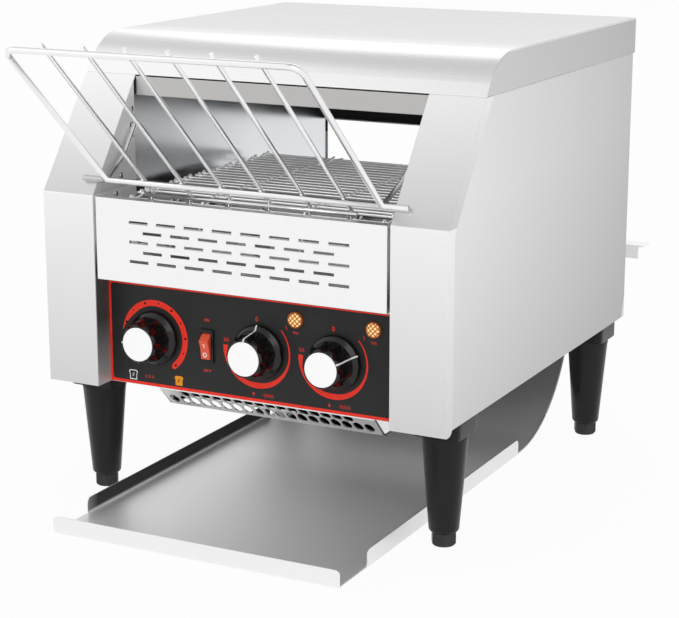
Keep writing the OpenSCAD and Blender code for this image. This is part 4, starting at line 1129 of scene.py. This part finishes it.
@dataclass
class ControlFace:
    """The charcoal face with its red border, dial bands, pictograms, switch and lamps."""

    half_w: float = 133.8
    low: float = 104.6
    high: float = 190.6
    border_side: float = 2.0
    border_low: float = 2.5
    border_high: float = 1.2
    border_round: float = 3.0
    switch_x: float = -39.5
    lamp_off: float = 33.0
    lamp_z: float = 177.0
    lamp_r: float = 6.9
    rim_w: float = 1.3
    band_left: float = 2.4
    ink: float = 0.06
    sunk: float = 0.02
    dot_r: float = 29.3
    dot_first: float = 160.0
    dot_step: float = 26.0
    zero_z: float = 173.6
    words: tuple[tuple[str, float], ...] = (("ON", 167.4), ("OFF", 124.6))
    letter_step: float = 2.5
    letter_w: float = 0.42
    wave_w: float = 0.45
    waves: tuple[tuple[float, int, float, float, float], ...] = (
        (-32.5, 3, 1.7, 153.2, 3.2), (24.5, 1, 0, 169.6, 3.2), (4, 5, 2, 110.8, 3), (31.3, 3, 1.7, 166.4, 2.2),
    )
    arrow_zs: Point = (109.2, 112.4)
    chevron: tuple[Point, ...] = ((-99.5, 111.2), (-98, 112.4), (-99.5, 113.6))
    chevron_step: float = 3.2
    pale_at: Point = (-111.7, 112.4)
    done_at: Point = (-67.2, 112.6)
    mark_w: float = 0.7
    key_z: float = 145.5
    key_half: float = 4.2
    key_lean: float = 10.0
    key_out: float = 3.0
    key_edge: float = 0.6
    before_key: float = -260.0
    key_outline: tuple[Point, ...] = ((-8.2, -9.4), (-7.6, 0), (-8.7, 7.0), (-0.9, 11.8), (1.5, 9), (3.2, 2.5),
                                      (3.2, -2.5), (-1, -9.8))
    on_mark: Point = (145.2, 148.6)
    off_mark: float = 139.0

    @property
    def heat_xs(self) -> Point:
        """Gives the places across of the two heat dials."""
        return DIAL_XS["upper_heat"], DIAL_XS["lower_heat"]

    def printed(self, name: str, shapes: Iterable[Iterable[Sequence[Point]]], finish: Finish,
                layer: int = 0) -> None:
        """Prints outlines on the face as one thin piece.

        Args:
            name: the piece's name.
            shapes: groups of loops, one solid for each group.
            finish: the ink.
            layer: how many prints lie under this one.
        """
        maker = bmesh.new()
        y = FACE_Y + self.sunk - layer * self.ink
        rise = Vector((0, -(self.ink + self.sunk) * MM, 0))
        for loops in shapes:
            flat_solid(maker, loops, lambda x, z: at(x, y, z), rise)
        piece_from(name, maker, "casing", finish)

    def border(self) -> None:
        """Prints the red border with its round inner corners."""
        outer = rectangle_loop(-self.half_w, self.half_w, self.low, self.high)
        inner_half = self.half_w - self.border_side
        inner = rounded_loop(-inner_half, inner_half, self.low + self.border_low, self.high - self.border_high,
                             self.border_round)
        self.printed("face_border", [[outer, inner]], INK_RED)

    def bands(self) -> None:
        """Prints the red bands round the dials, and the black dots on the first."""
        speed = [(174, 31.2, 31.6), (150, 27.4, 31.5), (135, 26.4, 31.5), (-50, 26.4, 31.5), (-54, 27.0, 31.0),
                 (-56, 28.4, 29.8)]
        heat = [(42, 29.4, 30.1), (-20, 28.8, 30.6), (-60, 27.2, 31.1), (-92, 26.2, 31.1), (-120, 27.4, 31.1),
                (-146, 30.2, 31.0), (-165, 28.6, 31.1), (-184, 26.8, 31.3)]
        shapes = [[band_loop(DIAL_XS["speed"], DIAL_Z, speed)]]
        shapes += [[band_loop(x - self.band_left, DIAL_Z, heat)] for x in self.heat_xs]
        self.printed("dial_bands", shapes, INK_RED)
        dots = []
        for step in range(9):
            turn = math.radians(self.dot_first - self.dot_step * step)
            x, z = DIAL_XS["speed"] + self.dot_r * math.cos(turn), DIAL_Z + self.dot_r * math.sin(turn)
            dots.append([circle_loop(x, z, 1.1 if step % 2 == 0 else 0.7, steps=16)])
        self.printed("dial_dots", dots, INK_BLACK, layer=1)

    def numerals(self) -> None:
        """Prints the zero over each heat dial and ON and OFF at the switch."""
        shapes = [[circle_loop(x - self.band_left, self.zero_z, *half) for half in ((1.15, 1.9), (0.65, 1.35))]
                  for x in self.heat_xs]
        letters = {
            "O": [],
            "N": [[(-0.7, -1.1), (-0.7, 1.1)], [(-0.7, 1.1), (0.7, -1.1)], [(0.7, -1.1), (0.7, 1.1)]],
            "F": [[(-0.6, -1.1), (-0.6, 1.1)], [(-0.6, 0.95), (0.8, 0.95)], [(-0.6, 0.05), (0.5, 0.05)]],
        }
        for word, height in self.words:
            for index, letter in enumerate(word):
                x = self.switch_x + (index - (len(word) - 1) / 2) * self.letter_step
                if letter == "O":
                    shapes.append([circle_loop(x, height, 0.95, 1.15), circle_loop(x, height, 0.55, 0.75)])
                for stroke in letters[letter]:
                    shapes.append([stroke_loop(shifted(stroke, x, height), self.letter_w)])
        self.printed("dial_numerals", shapes, INK_RED)

    def wave(self, x: float, z: float, tall: float) -> list[Point]:
        """Gives one rising line of heat."""
        steps = 14
        line = [(x + self.wave_w * math.sin(2 * math.pi * step / steps), z + tall * (step / steps - 0.5))
                for step in range(steps + 1)]
        return stroke_loop(line, self.wave_w)

    def pictograms(self) -> None:
        """Prints plain heat signs at the dials' ends, under the dials and under the lamps."""
        shapes = []
        for x, (tail, tip) in zip(self.heat_xs, (self.arrow_zs, self.arrow_zs[::-1])):
            for off, count, pitch, z, tall in self.waves:
                shapes += [[self.wave(x + off + pitch * step, z, tall)] for step in range(count)]
            middle = (tip + tail) / 2
            shapes.append([[(x - 6, tip), (x - 7.6, middle), (x - 4.4, middle)]])
            shapes.append([stroke_loop([(x - 6, tail), (x - 6, middle)], 0.8)])
        shapes += [[stroke_loop(shifted(self.chevron, self.chevron_step * step, 0), 0.5)] for step in range(3)]
        self.printed("heat_signs", shapes, INK_RED)

    def slice_loop(self, x: float, z: float, half: float) -> list[Point]:
        """Gives the outline of a slice of bread."""
        side = half * 0.8
        points = [(x - side, z - half), (x + side, z - half), (x + side, z + half * 0.2)]
        for start, end, middle in ((-30, 100, 0.55), (80, 210, -0.55)):
            points += arc_points(x + half * middle, z + half * 0.5, half * 0.42, start, end)
        return points + [(x - side, z + half * 0.2)]

    def slices(self) -> None:
        """Prints the pale and the toasted slice."""
        line = [(0.7, 1.4), (-0.6, 0.1), (0.5, -0.1), (-0.7, -1.5)]
        pale_mark, done_mark = (stroke_loop(shifted(line, *middle), self.mark_w)
                                for middle in (self.pale_at, self.done_at))
        outline = [self.slice_loop(*self.pale_at, half) for half in (4.4, 3.5)]
        self.printed("pale_slice", [outline, [pale_mark]], INK_WHITE)
        self.printed("toasted_slice", [[self.slice_loop(*self.done_at, 4.2)]], INK_ORANGE)
        self.printed("toasted_mark", [[done_mark]], INK_BLACK, layer=1)

    def lamps(self) -> None:
        """Makes the domed lenses with their rims."""
        lenses, rims = bmesh.new(), bmesh.new()
        r, lens_r = self.lamp_r, self.lamp_r - self.rim_w
        for heat_x in self.heat_xs:
            x = heat_x + self.lamp_off

            def place(a: float, b: float, h: float) -> Vector:
                """Puts a point of the lamp in the model's frame."""
                return at(x + a, FACE_Y - h, self.lamp_z + b)

            dome = [(lens_r * math.cos(t), 1.6 + 1.5 * math.sin(t))
                    for t in (math.radians(9 * step) for step in range(10))]
            lathe(lenses, [(0, 0.2), (lens_r, 0.2), *dome, (0, 3.1)], place, 64)
            rim = [(lens_r, 0), (r, 0), (r, 1.0), (r - 0.2, 1.6), (r - 0.6, 2.0), (r - 1.0, 2.0), (lens_r, 1.7)]
            self.ring(rims, rim, place)
        lens = piece_from("lamp_lenses", lenses, "casing", LAMP_LENS)
        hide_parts("indicator_lights")
        piece_from("lamp_rims", rims, "casing", LAMP_RIM)

    def ring(self, maker: bmesh.types.BMesh, section: Sequence[Point], place: Placer, segments: int = 64) -> None:
        """Turns a closed section into a ring.

        Args:
            maker: the mesh to add to.
            section: pairs of radius and height.
            place: turns two places across the axis and one along it into metres.
            segments: how many steps the turn has.
        """
        rows = []
        for step in range(segments):
            turn = 2 * math.pi * step / segments
            rows.append([maker.verts.new(place(r * math.cos(turn), r * math.sin(turn), h)) for r, h in section])
        for row, after in zip(rows, rows[1:] + rows[:1]):
            bridged(maker, row, after)

    def switch(self) -> None:
        """Dresses the rocker switch and prints its marks on the key."""
        MOULDED.copy_of("switch_housing", BEZEL_BLACK)
        maker = bmesh.new()
        lean = math.radians(self.key_lean)
        turned = [(y * math.cos(lean) - z * math.sin(lean), y * math.sin(lean) + z * math.cos(lean))
                  for y, z in self.key_outline]
        left, middle_y = self.switch_x - self.key_half, FACE_Y + self.key_out
        flat_solid(maker, [turned], lambda y, z: at(left, middle_y + y, self.key_z + z),
                   Vector((2 * self.key_half * MM, 0, 0)))
        bmesh.ops.recalc_face_normals(maker, faces=maker.faces)
        surface = BVHTree.FromBMesh(maker)
        key = piece_from("rocker_key", maker, "rocker", ROCKER_RED)
        rounded(key, self.key_edge, 3, "ANGLE")
        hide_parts("switch_rocker")

        def place(x: float, z: float) -> Vector:
            """Drops a point of a mark on the key's front."""
            start = at(x, self.before_key, z)
            return surface.ray_cast(start, Vector((0, 1, 0)))[0] + Vector((0, self.sunk * MM, 0))

        maker = bmesh.new()
        rise = Vector((0, -0.1 * MM, 0))
        flat_solid(maker, [stroke_loop([(self.switch_x, z) for z in self.on_mark], 0.9)], place, rise)
        ring = [circle_loop(self.switch_x, self.off_mark, *half) for half in ((1.9, 2.1), (1.1, 1.3))]
        flat_solid(maker, ring, place, rise)
        piece_from("rocker_marks", maker, "rocker", INK_WHITE)

    def build(self) -> None:
        """Makes the whole face."""
        MACHINED.copy_of("control_face")
        self.border()
        self.bands()
        self.numerals()
        self.pictograms()
        self.slices()
        self.lamps()
        self.switch()
        dressed("rotary_controls")


@dataclass
class FeedRack:
    """The welded wire rack."""

    rod_y: float = -202.12
    rod_z: float = 277.86
    tilt: float = 42.4
    pitch: float = 36.14
    rungs: int = 6
    top_s: float = 174.75
    tip: float = 3.9
    weld_r: float = 2.0
    weld_rise: float = 1.4
    weld_narrow: float = 0.9
    weld_lift: float = -2.35

    def place(self, x: float, s: float, lift: float) -> Vector:
        """Turns a place in the rack's own plane into metres in the model's frame."""
        c, n = math.cos(math.radians(self.tilt)), math.sin(math.radians(self.tilt))
        return at(x, self.rod_y - s * c - lift * n, self.rod_z + s * n - lift * c)

    def weld(self, maker: bmesh.types.BMesh, x: float, s: float) -> None:
        """Adds the small swelling where a rung is welded to a bar.

        Args:
            maker: the mesh to add to.
            x: the rung's place across.
            s: the bar's place up the slope.
        """
        turns = [math.radians(-90 + 15 * step) for step in range(13)]
        profile = [(0 if step in (0, 12) else self.weld_r * math.cos(turn), self.weld_rise * math.sin(turn))
                   for step, turn in enumerate(turns)]
        lathe(maker, profile, lambda a, b, h: self.place(x + self.weld_narrow * a, s + b, h + self.weld_lift), 20)

    def build(self) -> None:
        """Trims the tips of the wires over the top bar and adds the welds."""
        maker = welded("feed_rack")
        way = (self.place(0, 1, 0) - self.place(0, 0, 0)).normalized()
        trimmed = bmesh.ops.bisect_plane(maker, geom=[*maker.verts, *maker.edges, *maker.faces],
                                         plane_co=self.place(0, self.top_s + self.tip, 0), plane_no=way,
                                         clear_outer=True)
        rims = [item for item in trimmed["geom_cut"] if isinstance(item, bmesh.types.BMEdge)]
        bmesh.ops.holes_fill(maker, edges=rims)
        wires = piece_from("rack_wires", maker, "rack", BRIGHT_WIRE, sharp=50)
        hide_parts("feed_rack")
        maker = bmesh.new()
        for index in range(self.rungs):
            for s in (0.0, self.top_s):
                self.weld(maker, (index - (self.rungs - 1) / 2) * self.pitch, s)
        piece_from("rack_welds", maker, "rack", BRIGHT_WIRE)


@dataclass
class Works:
    """Belt, drive, heaters and the other parts inside the casing."""

    def build(self) -> None:
        """Dresses each part."""
        dressed("wire_belt", BELT_WIRE)
        FOLDED.copy_of("upper_reflector", REFLECTOR)
        # Painted shade: the lower reflector and the belt guides take the near-black heat-tinted sheet.
        for node in ("lower_reflector", "belt_guides"):
            FOLDED.copy_of(node, SHADED_HOT_SHEET)
        for node in ("upper_heaters", "lower_heaters", "heater_insulators", "shaft_bushes", "drive_chain",
                     "front_shaft", "rear_shaft", "motor_shaft", "gear_motor"):
            dressed(node)
        for node in ("front_sprockets", "rear_sprockets", "driven_sprocket", "motor_sprocket"):
            MACHINED.copy_of(node)
        for node in ("fan_frame", "fan_rotor"):
            MOULDED.copy_of(node)
        FOLDED.copy_of("motor_bracket")


@dataclass
class Trays:
    """The output tray that the toast slides down, and the crumb tray."""

    def build(self) -> None:
        """Softens and dresses both trays."""
        FOLDED.copy_of("output_tray")
        FOLDED.copy_of("crumb_tray")


@dataclass
class Stand:
    """Four moulded legs on adjusting feet."""

    x: float = 160.5
    front: float = 161.0
    rear: float = 167.0
    low: float = 11.3
    collar_low: float = 93.0
    collar_top: float = 107.0
    collar_half: float = 20.0
    corners: int = 14

    def square(self, turn: float, radius: float, height: float) -> float:
        """Squares the collar, with rounded corners."""
        if height < self.collar_low - 0.01:
            return radius
        power = self.corners
        spread = abs(math.cos(turn)) ** power + abs(math.sin(turn)) ** power
        return radius * spread ** (-1 / power)

    def build(self) -> None:
        """Makes the legs as one piece and dresses the feet."""
        maker = bmesh.new()
        c, low = self.collar_low, self.low
        cone = [(0, low), (10.2, low), (10.8, low + 0.2), (12.0, low + 1.6), (12.3, low + 2.4)]
        shoulder = [(18.3, c - 6), (18.75, c - 3), (18.85, c - 1.6), (18.6, c - 0.5), (18.0, c - 0.05)]
        half, top = self.collar_half, self.collar_top
        collar = [(half - 0.7, c), (half - 0.2, c + 0.2), (half, c + 0.7), (half, top - 0.4), (half - 0.4, top),
                  (0, top)]
        for x in (-self.x, self.x):
            for y in (-self.front, self.rear):
                lathe(maker, cone + shoulder + collar, lambda a, b, h: at(x + a, y + b, h), 96, self.square)
        legs = piece_from("moulded_legs", maker, "casing", LEG_BLACK)
        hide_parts("legs")
        for end in ("front", "rear"):
            for side in ("left", "right"):
                MOULDED.copy_of(f"foot_{end}_{side}", FOOT_BLACK)


# ---------------------------------------------------------------- studio


@dataclass
class Studio:
    """A plain pale floor, soft lights and the camera."""

    turn: float = 27.1
    rise: float = 13.98
    distance: float = 1694.6
    target: Place = (-15.31, 0.0, 137.45)
    lens: float = 100.305
    sensor: float = 36.0
    clip: float = 50.0
    floor_half: float = 6.0
    floor_drop: float = 0.0005
    floor_grey: float = 0.9
    floor_dull: float = 0.9
    floor_near: Point = (0.2, 1.5)
    floor_back: Point = (0.8, 1.8)
    sky_rise: Point = (0.45, 0.95)
    sky_back: Point = (-0.3, 0.7)
    lamp_aim: Place = (0.0, 0.0, 0.2)
    lamps: tuple[tuple[str, Place, float, float], ...] = (
        ("key_light", (1.5, -2.3, 1.7), 2.0, 15.0),
        ("fill_light", (-2.2, -1.4, 2.2), 3.0, 7.0),
        ("rear_light", (-0.8, 2.4, 2.2), 2.4, 10.0),
    )
    camera_share: float = 0.94
    near_share: float = 0.75
    back_share: float = 0.6
    zenith: float = 0.6
    behind: float = 0.8
    soft_light: float = 0.72

    def floor(self) -> None:
        """Lays the floor, which takes the shadow and else looks as white as the background."""
        maker = bmesh.new()
        bmesh.ops.create_grid(maker, x_segments=8, y_segments=8, size=self.floor_half)
        mesh = bpy.data.meshes.new("studio_floor")
        maker.to_mesh(mesh)
        maker.free()
        floor = placed("studio_floor", mesh)
        floor.location.z = -self.floor_drop
        material = bpy.data.materials.new("studio_floor")
        material.use_nodes = True
        wiring = Wiring(material.node_tree)
        shader = material.node_tree.nodes["Principled BSDF"]
        wiring.feed(shader, {"Roughness": self.floor_dull, "Base Color": (*grey(self.floor_grey), 1)})
        white = wiring.node("Emission").outputs["Emission"]
        outlet = material.node_tree.nodes["Material Output"]
        wiring.surface(outlet, self.floor_share(wiring), shader.outputs["BSDF"], white)
        mesh.materials.append(material)
        floor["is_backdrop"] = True

    def floor_share(self, wiring: Wiring) -> Socket:
        """Works out how much of the floor's look is plain white.

        The camera sees it nearly white. Metal sees it fall off close to the object and far behind it.

        Args:
            wiring: the floor's nodes.

        Returns:
            The share, from 0 to 1.
        """
        place = wiring.place()
        rays = wiring.node("LightPath").outputs
        near = wiring.ranged(wiring.vector("LENGTH", place, output="Value"), self.floor_near, (self.near_share, 1.0))
        back = wiring.ranged(wiring.axes(place)["Y"], self.floor_back, (1.0, self.back_share))
        both = wiring.math("MULTIPLY", near, back, clamp=True)
        mirrored = wiring.math("MULTIPLY", rays["Is Glossy Ray"], both, clamp=True)
        seen = wiring.math("MULTIPLY", rays["Is Camera Ray"], self.camera_share, clamp=True)
        return wiring.math("ADD", mirrored, seen, clamp=True)

    def world(self) -> None:
        """Makes a white background that lights the object softly.

        The camera sees it white throughout. Metal sees it fall off overhead and far behind the object.
        """
        world = bpy.data.worlds.new("studio_world")
        bpy.context.scene.world = world
        world.use_nodes = True
        world.node_tree.nodes.clear()
        wiring = Wiring(world.node_tree)
        way = wiring.axes(wiring.node("TexCoord").outputs["Generated"])
        rise = wiring.ranged(way["Z"], self.sky_rise, (1.0, self.zenith))
        depth = wiring.ranged(way["Y"], self.sky_back, (1.0, self.behind))
        rays = wiring.node("LightPath").outputs
        seen = rays["Is Camera Ray"]
        shade = wiring.math("MULTIPLY", rise, depth, clamp=True)
        direct = seen
        for ray in ("Is Glossy Ray", "Is Transmission Ray"):
            direct = wiring.math("ADD", direct, rays[ray], clamp=True)
        dim, bright = (wiring.node("Background") for _ in range(2))
        wiring.feed(dim, {"Color": (1, 1, 1, 1), "Strength": self.soft_light})
        wiring.feed(bright, {"Color": wiring.math("ADD", shade, seen, clamp=True), "Strength": 1.0})
        wiring.surface(wiring.node("OutputWorld"), direct, dim.outputs["Background"], bright.outputs["Background"])

    def lamp(self, name: str, place: Place, size: float, power: float) -> None:
        """Hangs a soft square lamp that faces the toaster.

        Args:
            name: the lamp's name.
            place: where it hangs, in metres.
            size: the length of its sides, in metres.
            power: its strength in watts.
        """
        data = bpy.data.lights.new(name, "AREA")
        data.size = size
        data.energy = power
        aimed(name, data, Vector(place), Vector(self.lamp_aim) - Vector(place))

    def camera(self) -> None:
        """Sets the camera up."""
        turn, rise = math.radians(self.turn), math.radians(self.rise)
        back = Vector((math.sin(turn) * math.cos(rise), -math.cos(turn) * math.cos(rise), math.sin(rise)))
        data = bpy.data.cameras.new("studio_camera")
        data.sensor_width = self.sensor
        data.lens = self.lens
        data.clip_end = self.clip
        place = at(*self.target) + back * self.distance * MM
        bpy.context.scene.camera = aimed("studio_camera", data, place, -back)

    def build(self) -> None:
        """Sets up the whole studio."""
        self.floor()
        self.world()
        for lamp in self.lamps:
            self.lamp(*lamp)
        self.camera()
        bpy.context.scene.view_settings.view_transform = "Standard"


def main() -> None:
    """Builds the toaster's looks and the studio, in order."""
    logging.basicConfig(level=logging.INFO, format="%(message)s")
    parts = [
        Casing(), AirScoop(), Screws(), ControlFace(), Knob("speed", 180), Knob("upper_heat", 90),
        Knob("lower_heat", 22), FeedRack(), Works(), Trays(), Stand(), Studio(),
    ]
    for part in parts:
        part.build()
        LOG.info("%s built, %d pieces so far", type(part).__name__, len(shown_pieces()))


if __name__ == "__main__":
    main()
